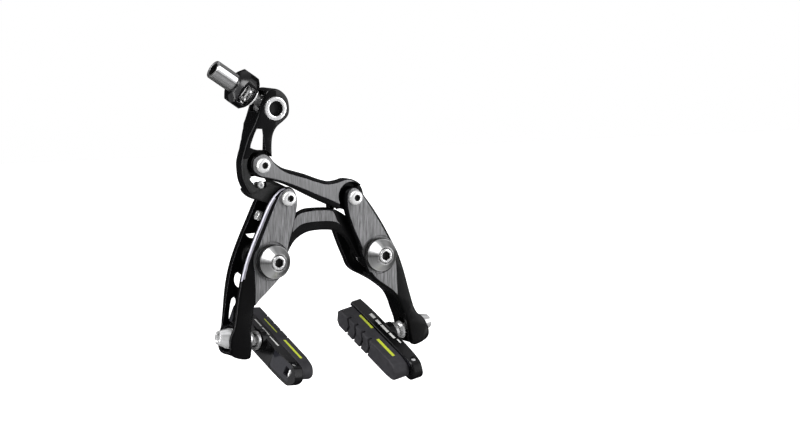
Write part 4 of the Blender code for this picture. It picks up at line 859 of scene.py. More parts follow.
# ------------------------------------------------------------ bridge
# upper and lower edge of the arch's right half, from the crown to the eye
ARCH_TOP = [(0.0, 22.6), (4.0, 22.5), (7.6, 21.5), (11.6, 19.4), (17.0, 15.4), (22.0, 11.0),
            (26.0, 7.6)]
ARCH_LOW = [(0.0, 12.4), (4.0, 12.2), (6.9, 11.7), (9.7, 10.6), (12.8, 8.6), (14.9, 6.2),
            (17.0, 2.6), (19.4, -1.6)]
EYE_R = 7.6                 # eye round each mounting bolt
EYE_FROM, EYE_SWEEP, EYE_STEPS = 75, -240, 40       # degrees
CROWN = [(0, 22.2), (6.0, 21.8), (10.0, 19.6), (11.6, 17.0), (10.4, 13.0), (7.0, 12.2),
         (0, 12.9), (-7.0, 12.2), (-10.4, 13.0), (-11.6, 17.0), (-10.0, 19.6), (-6.0, 21.8)]
BRIDGE_FACET = [
    (0.0, 21.6), (-5.0, 21.5), (-9.6, 20.9), (-12.6, 19.6), (-14.6, 16.2), (-15.0, 12.0, 's'),
    (-12.8, 14.0), (-10.0, 15.6), (-6.0, 16.3), (0.0, 16.5), (4.4, 16.3), (7.4, 15.7),
    (10.6, 14.2, 's'), (8.2, 16.4), (7.0, 19.2), (5.2, 21.1)]


def make_bridge():
    eye = []
    for i in range(EYE_STEPS + 1):
        angle = math.radians(EYE_FROM + EYE_SWEEP * i / EYE_STEPS)
        eye.append((MOUNT["right"][0] + EYE_R * math.cos(angle), EYE_R * math.sin(angle)))
    right_half = open_smooth(ARCH_TOP, 4) + eye + open_smooth(ARCH_LOW, 4)[::-1]
    left_half = [(-x, z) for x, z in right_half if x > 0.01][::-1]
    bridge = plate(right_half + left_half, -15.4, -11.4, bevel=0.7)
    add(bridge, plate(smooth(CROWN, 5), -13.0, -7.2, bevel=0.9),
        plate(smooth(BRIDGE_FACET, 4), -16.1, -14.9, bevel=0.2, res=1))
    cut(bridge, *(rod_y(SLEEVE_R + GAP, MOUNT[side]) for side, _ in SIDES))
    piece(bridge, "bridge", [BLACK, FACET], facet_picker(-15.95))


make_bridge()

# ------------------------------------------------------------ mounting
# (turn, brightness) of the painted reflection wedges round the cone washers
CONE_PAINTED_REFLECTIONS = [
    (0.0, 0.01), (0.03, 0.02), (0.06, 0.20), (0.12, 0.30), (0.20, 0.24), (0.27, 0.10),
    (0.32, 0.30), (0.35, 0.95), (0.44, 0.90), (0.47, 0.25), (0.50, 0.02), (0.525, 0.18),
    (0.60, 0.26), (0.68, 0.50), (0.76, 0.40), (0.84, 0.12), (0.92, 0.07), (0.965, 0.02),
    (1.0, 0.01)]
WASHER_REAR = -20.2
WASHER_FRONT = {"left": -23.7, "right": -22.4}
WASHER_R = 7.9
SPACER = [                  # (radius, y)
    (SLEEVE_R + GAP, 0), (7.8, 0), (8.1, -0.25), (8.2, -0.55), (8.2, -1.45), (8.1, -1.75),
    (7.8, -2.0), (SLEEVE_R + GAP, -2.0)]


def make_mounting(side):
    """Sleeve, spacer, washers and bolt on one mounting axis."""
    mount = MOUNT[side]
    rear, front = WASHER_REAR, WASHER_FRONT[side]
    base = front - GAP              # rear of the cone washer
    tip = base - 3.9                # front of the cone washer
    head = tip - 0.5                # front of the bolt
    sleeve = [(SLEEVE_BORE, 0), (SLEEVE_R - 0.15, 0), (SLEEVE_R, -0.15), (SLEEVE_R, rear + 0.5),
              (SLEEVE_R - 0.15, rear + 0.35), (SLEEVE_BORE, rear + 0.35)]
    piece(on_y(sleeve, mount, ring=True), side + "_pivot_sleeve", [STEEL])
    piece(on_y(SPACER, mount, ring=True), side + "_rear_spacer", [OXIDE])
    seal = [(3.5, rear), (7.6, rear), (7.82, rear - 0.08), (WASHER_R, rear - 0.3),
            (WASHER_R, rear - 1.2), (7.72, rear - 1.32), (7.72, rear - 1.5),
            (WASHER_R, rear - 1.62), (WASHER_R, front + 0.3), (7.82, front + 0.08),
            (7.6, front), (3.5, front)]
    piece(on_y(seal, mount, 96, ring=True), side + "_seal_washer",
          [black_oxide(side + "_washer_finish", base=0.003, rough=0.2)],
          angle=40)
    cone = [(SLEEVE_BORE, base), (7.45, base), (7.6, base - 0.12), (7.6, base - 0.42),
            (7.42, base - 0.55), (7.30, base - 0.55), (4.28, tip + 0.02), (4.10, tip),
            (3.75, tip), (3.65, tip + 0.1), (3.65, base - 1.4), (SLEEVE_BORE, base - 1.4)]
    cone_metal = turned_on_y(side + "_cone_painted_reflections", mount, level=0.80, rough=0.30, aniso=0.4,
                             sectors=CONE_PAINTED_REFLECTIONS, sector_axes=((-1, 0, 0), (0, 0, -1)))
    piece(on_y(cone, mount, 128, ring=True), side + "_cone_washer", [cone_metal],
          angle=25)
    bolt = on_y([(0, 11.0), (2.5, 11.0), (MOUNT_BOLT_R, 10.5), (MOUNT_BOLT_R, base - 1.75),
                 (3.3, base - 1.75), (3.3, head + 0.35), (3.2, head + 0.12), (3.0, head),
                 (0, head)], mount)
    # hexagon socket and its round lead-in
    cut(bolt, rod_y(2.3, mount, head - 1, head + 2.2, 6),
        rod_y(2.5, mount, head - 0.3, head + 0.18))
    piece(bolt, side + "_mount_bolt", [STEEL, SOCKET_SHADE],
          socket_picker(mount, head + 0.3, head + 2.6, 2.4))


for side, _ in SIDES:
    make_mounting(side)


def pivot_bolt(node, at, y_end):
    """Domed socket bolt standing on the front face."""
    face = Y_FACE - GAP
    dome = []
    for i in range(9):
        angle = math.pi / 2 * i / 8
        dome.append((2.1 + 1.4 * math.cos(angle) if i < 8 else 2.1,
                     face - 0.7 - 1.55 * math.sin(angle)))
    bolt = on_y([(0, y_end), (1.9, y_end), (PIVOT_BOLT_R, y_end - 0.3), (PIVOT_BOLT_R, face),
                 (3.4, face), (3.5, face - 0.12)] + dome + [(0, face - 2.28)], at)
    cut(bolt, rod_y(1.55, at, face - 4, face - 2.1, 40), rod_y(1.35, at, face - 4, face - 1.0, 6))
    metal = turned_on_y(node + "_turned", at, level=0.90, rough=0.24, aniso=0.6)
    piece(bolt, node, [metal, SOCKET_SHADE],
          socket_picker(at, face - 2.15, face - 0.9, 1.5))


pivot_bolt("left_top_bolt", ARM_TOP["left"], -2.0)
pivot_bolt("right_top_bolt", ARM_TOP["right"], -4.2)
pivot_bolt("link_bolt", LINK_PIVOT, -8.6)

# ------------------------------------------------------------ lever
LEVER_OUTLINE = [
    (-17.5, 69.0), (-18.4, 73.6), (-21.3, 77.0), (-25.2, 78.4), (-28.6, 77.4), (-30.7, 73.6),
    (-32.3, 69.6), (-34.6, 63.2), (-38.2, 56.6), (-40.2, 50.8), (-41.6, 46.0), (-41.6, 42.0),
    (-40.8, 37.0), (-38.6, 32.6), (-36.2, 30.6), (-31.8, 32.6), (-27.7, 34.2), (-23.6, 36.2),
    (-25.2, 41.0), (-26.0, 46.0), (-26.5, 51.0), (-26.0, 57.0), (-24.0, 60.8), (-20.6, 63.4),
    (-18.2, 65.8)]
# slope that thins the lever from behind below its top, as (y, z)
LEVER_SLOPE = [(LEVER_TOP_BACK + 0.4, 63.6), (-8.4, 60.0), (-11.2, 55.6), (LEVER_BACK, 51.0),
               (LEVER_BACK, 20.0), (4.0, 20.0), (4.0, 63.6)]
LEVER_FOOT = [
    (-14.8, 28.4), (-15.8, 31.8), (-19.4, 33.9), (-24.0, 36.0), (-28.4, 37.4), (-31.6, 37.4),
    (-34.0, 35.6), (-34.6, 33.4), (-38.4, 33.0), (-37.6, 30.9), (-34.6, 28.6), (-29.0, 26.6),
    (-23.4, 24.6), (-19.4, 23.6), (-15.8, 25.2)]
UPPER_WINDOW = [
    (-33.4, 61.4), (-31.6, 60.0), (-30.4, 54.6), (-30.4, 50.6), (-34.2, 50.9), (-37.3, 52.2),
    (-36.6, 55.2), (-35.0, 59.0)]
LOWER_WINDOW = [(-37.6, 38.2), (-34.0, 36.2), (-30.0, 36.9), (-30.2, 34.8), (-33.4, 33.6),
                (-36.8, 34.8)]
LOWER_NOTCH = [(-37.4, 38.0), (-35.4, 35.8), (-34.6, 38.0), (-33.4, 39.6), (-37.0, 39.6)]
# slanting window walls: end depth, x and z drift per mm of depth, outline
LEVER_SLANTS = [
    (-8.0, 0.495, -0.1, [(-33.8, 60.6), (-31.7, 60.4), (-31.3, 57.5), (-31.5, 50.8),
                         (-34.7, 51.0), (-37.6, 52.0), (-35.7, 56.3)]),
    (-8.0, 0.25, -0.05, [(-33.6, 60.9), (-31.7, 60.2), (-31.3, 57.5), (-31.5, 50.8),
                         (-34.7, 51.0), (-37.4, 52.1), (-35.5, 56.3)]),
    (-8.6, 0.495, -0.1, [(-37.2, 38.4), (-34.8, 38.8), (-31.0, 38.7), (-29.8, 36.6),
                         (-32.2, 35.8), (-34.5, 35.5), (-36.0, 35.2)]),
    (-8.6, 0.25, -0.05, [(-37.0, 38.4), (-34.8, 38.8), (-31.4, 38.6), (-30.4, 36.7),
                         (-32.2, 35.9), (-34.5, 35.6), (-36.0, 35.4)])]
LINK_RELIEF = [(-32.3, 50.8), (-27.4, 47.6), (-20.0, 45.6), (-16.0, 36.0), (-21.0, 33.4),
               (-26.0, 35.1), (-32.4, 37.2)]
RECESS_Y = -14.9            # floor of the room for the link
FOOT_STEP = [(-12.0, 20.0), (-12.0, 34.0), (-22.5, 36.9), (-36.2, 30.5), (-38.0, 20.0)]
# opening for the barrel, from the swivel axis
BARREL_WINDOW = [(0, 4.2), (-20, 25.0), (-26, 5.4), (-2.0, -3.8)]
WIRE_EXIT_ANGLE = 0.75      # radians below the horizontal


def make_lever():
    lever = plate(smooth(LEVER_OUTLINE, 4), LEVER_FRONT, LEVER_TOP_BACK, bevel=1.0)
    cut(lever, side_cut(LEVER_SLOPE))
    add(lever, plate(smooth(LEVER_FOOT, 5), FOOT_FACE, -9.2, bevel=0.8),
        rod_y(6.4, LINK_PIVOT, -13.0, -9.2, 64))
    x, z = SWIVEL
    cut(lever,
        plate(smooth(UPPER_WINDOW, 6), CLEAR_FRONT, 0),
        plate(smooth(LOWER_WINDOW, 5), CLEAR_FRONT, FOOT_FACE - GAP),
        plate(LOWER_NOTCH, CLEAR_FRONT, 0),
        *(slanted(outline, y_end, x_drift, z_drift)
          for y_end, x_drift, z_drift, outline in LEVER_SLANTS),
        rod_y(7.0, LINK_PIVOT, y1=RECESS_Y, segments=64),
        plate(LINK_RELIEF, CLEAR_FRONT, RECESS_Y),
        rod_y(PIVOT_BORE_R, LINK_PIVOT, segments=40),
        rod_y(PIVOT_BORE_R, ARM_TOP["left"], segments=40),
        rod_y(5.75, SWIVEL, segments=72),
        plate(FOOT_STEP, CLEAR_FRONT, -16.1),
        plate([(x + across, z + up) for across, up in BARREL_WINDOW], -16.6, -7.4),
        # exit for the brake wire
        rod(1.8, (x, -12.0, z), (x + 14 * math.cos(WIRE_EXIT_ANGLE), -12.0,
                                 z - 14 * math.sin(WIRE_EXIT_ANGLE)), 32),
        # bore and seat of the stop screw
        rod_y(1.45, LEVER_STOP, y1=-11.0, segments=24),
        rod_y(2.1, LEVER_STOP, y1=FOOT_FACE, segments=32))

    def pick(centre, normal):
        """Blasted grain on the front of the foot and of the top's right side."""
        return int(normal.y < -0.7 and centre.y < -14
                   and (centre.z < 47 or (centre.x > -24.5 and centre.z > 60)))

    piece(lever, "upper_lever", [BLACK_LEVER, GRAIN], pick)


def make_stop_screw():
    stop = on_y([(0, -12.0), (1.1, -12.0), (1.1, -16.25), (1.6, -16.25), (1.7, -16.35),
                 (1.7, -17.1), (1.6, -17.38), (1.35, -17.5), (0, -17.5)], LEVER_STOP, 40)
    cut(stop, rod_y(0.85, LEVER_STOP, -20, -16.6, 6))
    piece(stop, "lever_stop_screw", [STEEL])


make_lever()
make_stop_screw()

# ------------------------------------------------------------ link
LINK_OUTLINE = [
    (-32.2, 49.4), (-28.9, 48.2), (-26.2, 45.2), (-22.4, 42.6), (-18.0, 41.2), (-11.0, 39.2),
    (-5.0, 37.0), (-1.0, 35.8), (3.0, 35.0), (7.0, 35.4), (10.4, 36.1), (13.4, 35.8),
    (16.2, 34.7), (18.6, 33.0, 's'), (16.8, 30.8, 's'), (8.0, 21.5, 's'), (6.4, 22.6),
    (1.4, 24.6), (-4.0, 27.0), (-10.0, 29.9), (-16.0, 32.9), (-19.2, 34.3), (-22.0, 35.3),
    (-28.0, 37.2), (-33.4, 38.6), (-37.0, 41.4), (-37.6, 44.2), (-36.6, 47.4)]
LINK_FACET = [
    (-32.2, 48.9), (-29.0, 47.5), (-26.2, 44.2), (-22.4, 41.2), (-18.4, 39.4), (-11.0, 37.2),
    (-5.0, 35.2), (0.0, 33.9), (4.4, 34.0), (7.8, 34.8), (10.6, 35.5), (13.2, 35.2),
    (15.8, 34.1), (17.9, 32.6, 's'), (16.6, 30.6, 's'), (8.4, 23.9, 's'), (6.6, 24.7),
    (1.6, 27.0), (-4.0, 29.2), (-10.0, 31.8), (-16.0, 34.2), (-22.0, 36.3), (-28.0, 37.9),
    (-33.2, 39.1), (-36.4, 41.6), (-37.0, 44.2), (-36.2, 47.0)]
LINK_CORE = [
    (15.0, 35.2), (10.0, 33.7), (4.0, 33.4), (-4.0, 33.6), (-7.0, 32.0), (-6.0, 29.6),
    (0.0, 27.2), (5.4, 24.8), (9.6, 22.2), (15.0, 20.9), (20.2, 22.8), (22.0, 27.2),
    (20.2, 32.4)]
LINK_POCKET_MOUTH = [(7.2, 25.0), (7.0, 14.0), (34.0, 14.0), (34.0, 31.0), (19.4, 31.6),
                     (15.0, 28.0)]
LINK_POCKET_Y = -16.1       # floor of the pocket, front of the core


def make_link():
    link = plate(smooth(LINK_OUTLINE, 4), Y_ROUNDED, -15.3, bevel=0.55)
    add(link, plate(smooth(LINK_FACET, 4), Y_FACE, Y_BASE + 0.9, bevel=0.2, res=1),
        plate(smooth(LINK_CORE, 4), LINK_POCKET_Y, -6.5, bevel=0.5))
    cut(link,
        plate(circle((13.2, 28.0), 6.7, 64), CLEAR_FRONT, LINK_POCKET_Y),
        plate(LINK_POCKET_MOUTH, CLEAR_FRONT, LINK_POCKET_Y),
        rod_y(PIVOT_BOLT_R + 0.8, ARM_TOP["right"]),
        rod_y(PIVOT_BORE_R, LINK_PIVOT, segments=40))
    piece(link, "link", [BLACK, FACET_LINK], facet_picker(FACET_Y))


make_link()

# ------------------------------------------------------------ swivel and barrel
SWIVEL_PROFILE = [          # (radius, y)
    (0, -5.2), (4.6, -5.2), (5.2, -5.5), (5.4, -5.9), (5.4, -18.95), (5.3, -19.18),
    (5.05, -19.3), (3.7, -19.3), (3.5, -19.2), (3.45, -18.9), (3.45, -16.2), (0, -16.2)]
BARREL_PROFILE = [          # (radius, distance along the barrel)
    (1.3, BARREL_END - 9.0), (2.9, BARREL_END - 9.0), (2.9, BARREL_END - 0.3),
    (3.1, BARREL_END - 0.08), (3.3, BARREL_END), (4.0, BARREL_END),
    (4.32, BARREL_END - 0.12), (BARREL_R, BARREL_END - 0.45), (BARREL_R, KNOB_OUT + 0.3),
    (BARREL_R, KNOB_OUT - 2.0), (2.6, KNOB_OUT - 2.4), (2.6, 1.4), (2.3, 1.1), (1.3, 1.1)]
# (turn, brightness) of the painted reflections: long bright and dark strips down the barrel
BARREL_PAINTED_REFLECTIONS = [
    (0.0, 0.30), (0.24, 0.04), (0.27, 0.10), (0.33, 0.16), (0.40, 0.25), (0.485, 0.32),
    (0.50, 0.10), (0.52, 0.95), (0.60, 1.0), (0.622, 0.08), (0.645, 0.42), (0.71, 0.50),
    (0.735, 0.06), (0.80, 0.25), (1.0, 0.30)]
STRIP_FACING = Vector((-0.46, -0.88, 0.12))     # direction of the strips' half turn
KNOB_ENVELOPE = [           # (radius, distance along the barrel)
    (0, KNOB_OUT + 0.01), (5.4, KNOB_OUT + 0.01), (6.6, KNOB_OUT - 0.55),
    (8.6, KNOB_OUT - 2.2), (9.3, KNOB_OUT - 2.9), (9.6, KNOB_OUT - 3.6),
    (9.6, KNOB_IN + 4.4), (9.35, KNOB_IN + 3.4), (8.7, KNOB_IN + 1.8), (7.1, KNOB_IN - 0.01),
    (0, KNOB_IN - 0.01)]
LOBES, LOBE_DEPTH, LOBE_TURN = 4, 1.3, 0.45     # grip lobes; the turn is in radians


def along(distance):
    """Point on the barrel's axis."""
    return BARREL_START + BARREL_AXIS * distance


def make_swivel():
    swivel = on_y(SWIVEL_PROFILE, SWIVEL, 96)
    # thread for the barrel and bore for the wire
    cut(swivel, rod(3.0, along(-1.0), along(9.0)), rod(0.9, along(-9.0), along(2.0), 24))
    metal = turned_on_y("swivel_turned", SWIVEL, level=0.80, rough=0.14, aniso=0.6)
    piece(swivel, "swivel_trunnion", [metal, SOCKET_SHADE],
          socket_picker(SWIVEL, -18.9, -16.0, 3.5))


def make_barrel():
    facing = (STRIP_FACING - BARREL_AXIS * STRIP_FACING.dot(BARREL_AXIS)).normalized()
    metal = turned_metal(
        "barrel_painted_reflections", level=0.82, rough=0.12, axis=BARREL_AXIS,
        origin=in_frame(BARREL_START), aniso=0.6, rings=0.12, metal=0.8,
        sectors=BARREL_PAINTED_REFLECTIONS, sector_axes=(tuple(facing), tuple(BARREL_AXIS.cross(facing))))

    def pick(centre, normal):
        """Walls of the barrel's mouth get the painted shade."""
        distance = (centre - BARREL_START).dot(BARREL_AXIS)
        off_axis = centre - BARREL_START - BARREL_AXIS * distance
        return int(distance > BARREL_END - 9.2 and off_axis.length < 3.0)

    piece(turned(BARREL_PROFILE, axis_matrix(BARREL_START, BARREL_AXIS), 96, ring=True),
          "barrel_adjuster", [metal, SOCKET_SHADE], pick)


def make_knob():
    outline = []
    for i in range(96):
        angle = 2 * math.pi * i / 96
        radius = KNOB_R - LOBE_DEPTH * (0.5 - 0.5 * math.cos(LOBES * angle))
        outline.append((radius * math.cos(angle + LOBE_TURN),
                        radius * math.sin(angle + LOBE_TURN)))
    turn = Vector((0, 1, 0)).rotation_difference(BARREL_AXIS)
    matrix = Matrix.Translation(BARREL_START * MM) @ turn.to_matrix().to_4x4()
    knob = plate(outline, KNOB_IN, KNOB_OUT, matrix=matrix, bevel=0.5)
    envelope = turned(KNOB_ENVELOPE, axis_matrix(BARREL_START, BARREL_AXIS), 96)
    boolean(knob, 'INTERSECT', [envelope])
    # barrel bore, room for the spring and a window in the side
    cut(knob, rod(BARREL_R + GAP, along(KNOB_OUT - 4.0), along(KNOB_OUT + 3), 72),
        rod(6.3, along(KNOB_IN - 3), along(KNOB_OUT - 2.5), 72),
        box((-4.4, KNOB_IN + 1.8, -20), (4.4, KNOB_OUT - 3.2, -3),
            matrix @ Matrix.Rotation(math.radians(101), 4, 'Y')))
    piece(knob, "adjuster_knob", [KNOB], angle=28)


make_swivel()
make_barrel()
make_knob()


# ------------------------------------------------------------ springs
def make_adjuster_spring():
    radius, turns, steps = 4.4, 4.0, 160
    start, end = 9.6, 18.2          # along the barrel
    first = Vector((0, 1, 0))
    second = BARREL_AXIS.cross(first).normalized()
    points = []
    for i in range(steps + 1):
        angle = 2 * math.pi * turns * i / steps
        points.append(along(start + (end - start) * i / steps)
                      + first * (radius * math.cos(angle))
                      + second * (radius * math.sin(angle)))
    piece(wire(points, 0.6), "adjuster_spring", [BRIGHTENED_COIL], clean=0)


def make_return_spring(side, sign):
    """Coil round a mounting axis that ends in a straight leg."""
    radius, turns, steps = 5.6, 2.25, 90
    y_start, length, leg = -10.2, 3.0, 5.0

    def point(part):
        angle = math.radians(100) - sign * 2 * math.pi * turns * part
        return Vector((MOUNT[side][0] + radius * math.cos(angle), y_start + length * part,
                       MOUNT[side][1] + radius * math.sin(angle)))

    points = [point(i / steps) for i in range(steps + 1)]
    points.append(points[-1] + (points[-1] - point(21 / 22)).normalized() * leg)
    piece(wire(points, 0.65), side + "_return_spring", [STEEL], clean=0)


make_adjuster_spring()
for side, sign in SIDES:
    make_return_spring(side, sign)

# ------------------------------------------------------------ tension screw
SCREW_DIR = Vector((0.94, 0.0, -0.34)).normalized()
SCREW_HEAD = Vector((-31.2, -11.6, 20.6))


def make_tension_screw():
    screw = turned([(0, 9.0), (1.0, 9.0), (1.25, 8.7), (1.25, 1.8), (2.1, 1.8), (2.2, 1.7),
                    (2.2, 0.3), (2.1, 0.1), (1.9, 0), (0, 0)],
                   axis_matrix(SCREW_HEAD, SCREW_DIR), 48)
    cut(screw, rod(1.1, SCREW_HEAD + SCREW_DIR * -1.0, SCREW_HEAD + SCREW_DIR * 1.1, 6))
    piece(screw, "tension_screw", [STEEL])
    block = plate([(-27.6, 21.6), (-28.9, 18.0), (-24.6, 16.2), (-22.6, 19.2)], -15.9, -7.4,
                  bevel=0.3)
    cut(block, rod(1.6, SCREW_HEAD + SCREW_DIR * -3.0, SCREW_HEAD + SCREW_DIR * 14.0, 40))
    piece(block, "tension_block", [OXIDE])


def make_cable_anchor():
    """Bolt and washer behind the right arm's top pivot."""
    at = ARM_TOP["right"]
    bolt = on_y([(0, 4.9), (2.4, 4.9), (2.8, 4.8), (3.0, 4.5), (3.0, 1.9), (1.5, 1.9),
                 (1.5, -3.7), (0, -3.7)], at, 64)
    cut(bolt, rod_y(1.5, at, 3.0, 8.0, 6))
    piece(bolt, "cable_anchor_bolt", [STEEL])
    washer = on_y([(1.85, 1.5), (4.0, 1.5), (4.22, 1.42), (4.3, 1.2), (4.3, -2.0),
                   (1.85, -2.0)], at, ring=True)
    piece(washer, "cable_anchor_washer", [STEEL])


make_tension_screw()
make_cable_anchor()

# ------------------------------------------------------------ pads
# Pad axes: X along the pad, -Y towards the rubber's face, Z across; origin at the boss face.
# Side views are (x, z) with x to the nose, from the holder's centre.
HOLDER_SIDE = [
    (-27.6, -3.4, 's'), (-26.6, -5.3, 's'), (22.0, -5.3, 's'), (26.6, -4.4), (29.4, 0.0),
    (26.6, 4.4), (22.0, 5.3, 's'), (-26.6, 5.3, 's'), (-27.6, 3.4, 's')]
PAD_SIDE = [
    (-26.0, -2.6, 's'), (-24.0, -4.8, 's'), (18.0, -4.8, 's'), (23.6, -3.6), (26.0, 0.0),
    (23.6, 3.6), (18.0, 4.8, 's'), (-24.0, 4.8, 's'), (-26.0, 2.6, 's')]
# slope off the holder's back towards one end, as (x, y)
END_TAPER = [(9.0, 0.02), (9.0, 6.0), (40.0, 6.0), (40.0, -2.6), (30.5, -2.5), (11.0, -1.18)]
# chevron groove across the rubber, x from the groove's start
GROOVE = [(0, -6.2), (1.5, -6.2), (3.9, 1.0), (1.9, 6.2), (0.4, 6.2), (2.4, 1.0)]
GROOVE_START, GROOVE_PITCH = -18.6, 6.0

YELLOW = (0.40, 0.46, 0.03)
WHITE = (0.50, 0.50, 0.49)
PANEL = (0.012, 0.012, 0.015)
# printed patches as (x0, x1, y0, y1, z0, z1, colour)
PANELS = [(12.6, 26.6, -9.0, 2.0, -5.4, 3.05, PANEL),
          (-28.0, -8.0, -9.0, 2.0, -5.8, 3.05, PANEL)]
# patches on the upper side of holder and rubber, as (x0, x1, y0, y1)
HOLDER_MARKS = {
    "left": [(-12.2, -6.2, -5.6, -4.8), (-5.0, 1.0, -5.5, -4.7), (2.2, 10.0, -5.1, -4.3)],
    "right": [(-12.9, -9.2, -4.9, -3.3), (-7.6, -4.0, -4.9, -3.4), (-3.2, 2.8, -4.8, -3.5),
              (3.7, 8.1, -4.6, -3.4), (9.4, 12.4, -3.7, -2.9)]}
PAD_BARS = {
    "left": [(-12.8, -1.4, -11.5, -10.9), (5.0, 20.0, -12.1, -10.8)],
    "right": [(-14.9, -3.8, -9.3, -8.0), (4.5, 18.5, -11.8, -10.4)]}


def pad_axes(outward, stud):
    """Pad matrix, and 1 or -1 for the way local X runs to the nose."""
    nose = Vector((math.cos(PAD_PITCH) * math.sin(PAD_YAW),
                   -math.cos(PAD_PITCH) * math.cos(PAD_YAW), -math.sin(PAD_PITCH)))
    inward = (-outward + nose * outward.dot(nose)).normalized()
    up = inward.cross(nose)
    if up.z < 0:
        up = -up
    flip = -1.0 if Matrix((nose, -inward, up)).determinant() < 0 else 1.0
    turn = Matrix((nose * flip, -inward, up)).transposed()
    return Matrix.Translation((stud - outward * HOLDER_BACK) * MM) @ turn.to_4x4(), flip


def side_view(points, flip):
    """Smooth side view in pad axes, without points on straight runs."""
    line = smooth([((x + PAD_SHIFT) * flip, z - PAD_DROP, *sharp) for x, z, *sharp in points],
                  8)
    kept = []
    for i, point in enumerate(line):
        before, after = Vector(line[i - 1]), Vector(line[(i + 1) % len(line)])
        chord, reach = after - before, Vector(point) - before
        if abs(chord.x * reach.y - chord.y * reach.x) > 1e-4:
            kept.append(point)
    return kept


def make_pad_set(side, sign):
    """Holder, rubber, stud, nut and washers of one side."""
    tilt = STUD_TILT[side]
    outward = Vector((math.cos(tilt) * sign, 0, math.sin(tilt)))
    stud = Vector((STUD[side][0], STUD_Y, STUD[side][1]))
    matrix, flip = pad_axes(outward, stud)
    y_back = -BOSS_T
    y_rail = y_back - HOLDER_T
    screw_x, screw_y = 24.8 * flip, y_rail + 3.2

    def patches(spans):
        return [(*sorted((x0 * flip, x1 * flip)), *rest) for x0, x1, *rest in spans]

    holder = plate(side_view(HOLDER_SIDE, flip), y_rail, y_back, matrix=matrix, bevel=0.7)
    add(holder, rod_y(5.2, (0, 0), -3.0, 0, 72, matrix))
    pocket = sorted((-60 * flip, (20.4 + PAD_SHIFT) * flip))
    cut(holder,
        *(plate([(x * end, y) for x, y in END_TAPER], -20, 20, matrix=matrix @ TO_Y)
          for end in (-1, 1)),
        box((pocket[0], y_rail - 1, -PAD_DROP - 3.3),
            (pocket[1], y_rail + 2.6, -PAD_DROP + 3.3), matrix),
        rod_y(3.1, (0, 0), -3.8, 3, 48, matrix),
        # bore and window of the pad screw
        rod(1.55, (screw_x, screw_y, -PAD_DROP - 4.4), (screw_x, screw_y, 8), 32, matrix),
        box((screw_x - 2.3, y_rail + 1.5, -PAD_DROP - 1.4),
            (screw_x + 2.3, y_rail + 9.0, -PAD_DROP + 2.8), matrix))
    marks = PANELS + [(*mark, 3.2, 4.5, WHITE) for mark in HOLDER_MARKS[side]]
    piece(holder, side + "_pad_holder",
          [holder_gloss(side + "_holder_gloss", SHIFT @ matrix, patches(marks))])

    pad = plate(side_view(PAD_SIDE, flip), y_rail - PAD_T, y_rail - GAP, matrix=matrix,
                bevel=0.6)
    tongue = [x + PAD_SHIFT * flip for x in sorted((-24.0 * flip, 20.0 * flip))]
    add(pad, box((tongue[0], y_rail - 1.5, -PAD_DROP - 2.9),
                 (tongue[1], y_rail + 2.2, -PAD_DROP + 2.9), matrix))
    for k in range(4):
        start = GROOVE_START + GROOVE_PITCH * k + PAD_SHIFT
        cut(pad, plate([((start + x) * flip, z - PAD_DROP) for x, z in GROOVE],
                       y_rail - PAD_T - 2, y_rail - PAD_T + 2.2, matrix=matrix))
    bars = [(*bar, 2.7, 4.0, YELLOW) for bar in PAD_BARS[side]]
    piece(pad, side + "_brake_pad",
          [rubber(side + "_pad_rubber", base=0.019, pad_matrix=SHIFT @ matrix,
                  patches=patches(bars))])

    screw_place = Matrix.Translation(Vector((screw_x, screw_y, -PAD_DROP - 4.0)) * MM)
    screw = turned([(0, 8.4), (1.0, 8.4), (1.2, 8.2), (1.2, 0.2), (1.0, 0), (0, 0)],
                   matrix @ screw_place, 40)
    piece(screw, side + "_pad_screw", [STEEL])

    # (radius, distance outwards) along the stud
    on_stud = axis_matrix(stud, outward)
    stud_end = -HOLDER_BACK - 2.9
    piece(turned([(0, 8.0), (2.1, 8.0), (2.4, 7.7), (2.4, stud_end), (0, stud_end)],
                 on_stud, 56), side + "_pad_stud", [STEEL])
    nut_washer = [(2.75, SEAT_OUT + 1.3), (4.2, SEAT_OUT + 1.3), (4.55, SEAT_OUT + 1.15),
                  (4.7, SEAT_OUT + 0.9), (4.7, SEAT_OUT + 0.5), (4.6, SEAT_OUT + 0.35),
                  (2.75, SEAT_OUT + 0.35)]
    piece(turned(nut_washer, on_stud, ring=True), side + "_nut_washer", [STEEL])
    nut = [(2.75, 9.4), (2.9, 9.4), (3.12, 9.3), (3.2, 9.1), (3.8, 7.2), (4.3, 5.6),
           (4.62, 4.7), (4.7, 4.2), (4.7, SEAT_OUT + 1.85), (4.55, SEAT_OUT + 1.7),
           (2.75, SEAT_OUT + 1.7)]
    piece(turned(nut, on_stud, 96, ring=True), side + "_pad_nut",
          [turned_metal(side + "_nut_turned", level=0.74, rough=0.16, axis=outward,
                        origin=in_frame(stud), aniso=0.6)])
    convex = [(2.75, -SEAT_IN - 0.35), (4.05, -SEAT_IN - 0.35), (4.2, -SEAT_IN - 0.5),
              (4.2, -SEAT_IN - 0.9), (3.88, -SEAT_IN - 1.65), (3.4, -SEAT_IN - 2.3),
              (2.75, -SEAT_IN - 2.6)]
    piece(turned(convex, on_stud, ring=True), side + "_convex_washer", [STEEL])
    concave = [(3.05, 1.7), (3.5, 1.9), (4.35, 1.9), (4.5, 1.75), (4.5, 0.5), (4.35, 0.35),
               (3.05, 0.35)]
    piece(turned(concave, matrix @ TO_Y, ring=True), side + "_concave_washer", [STEEL_DARK])


for side, sign in SIDES:
    make_pad_set(side, sign)

for shape in list(WORK.objects):
    bpy.data.objects.remove(shape, do_unlink=True)
bpy.data.collections.remove(WORK)

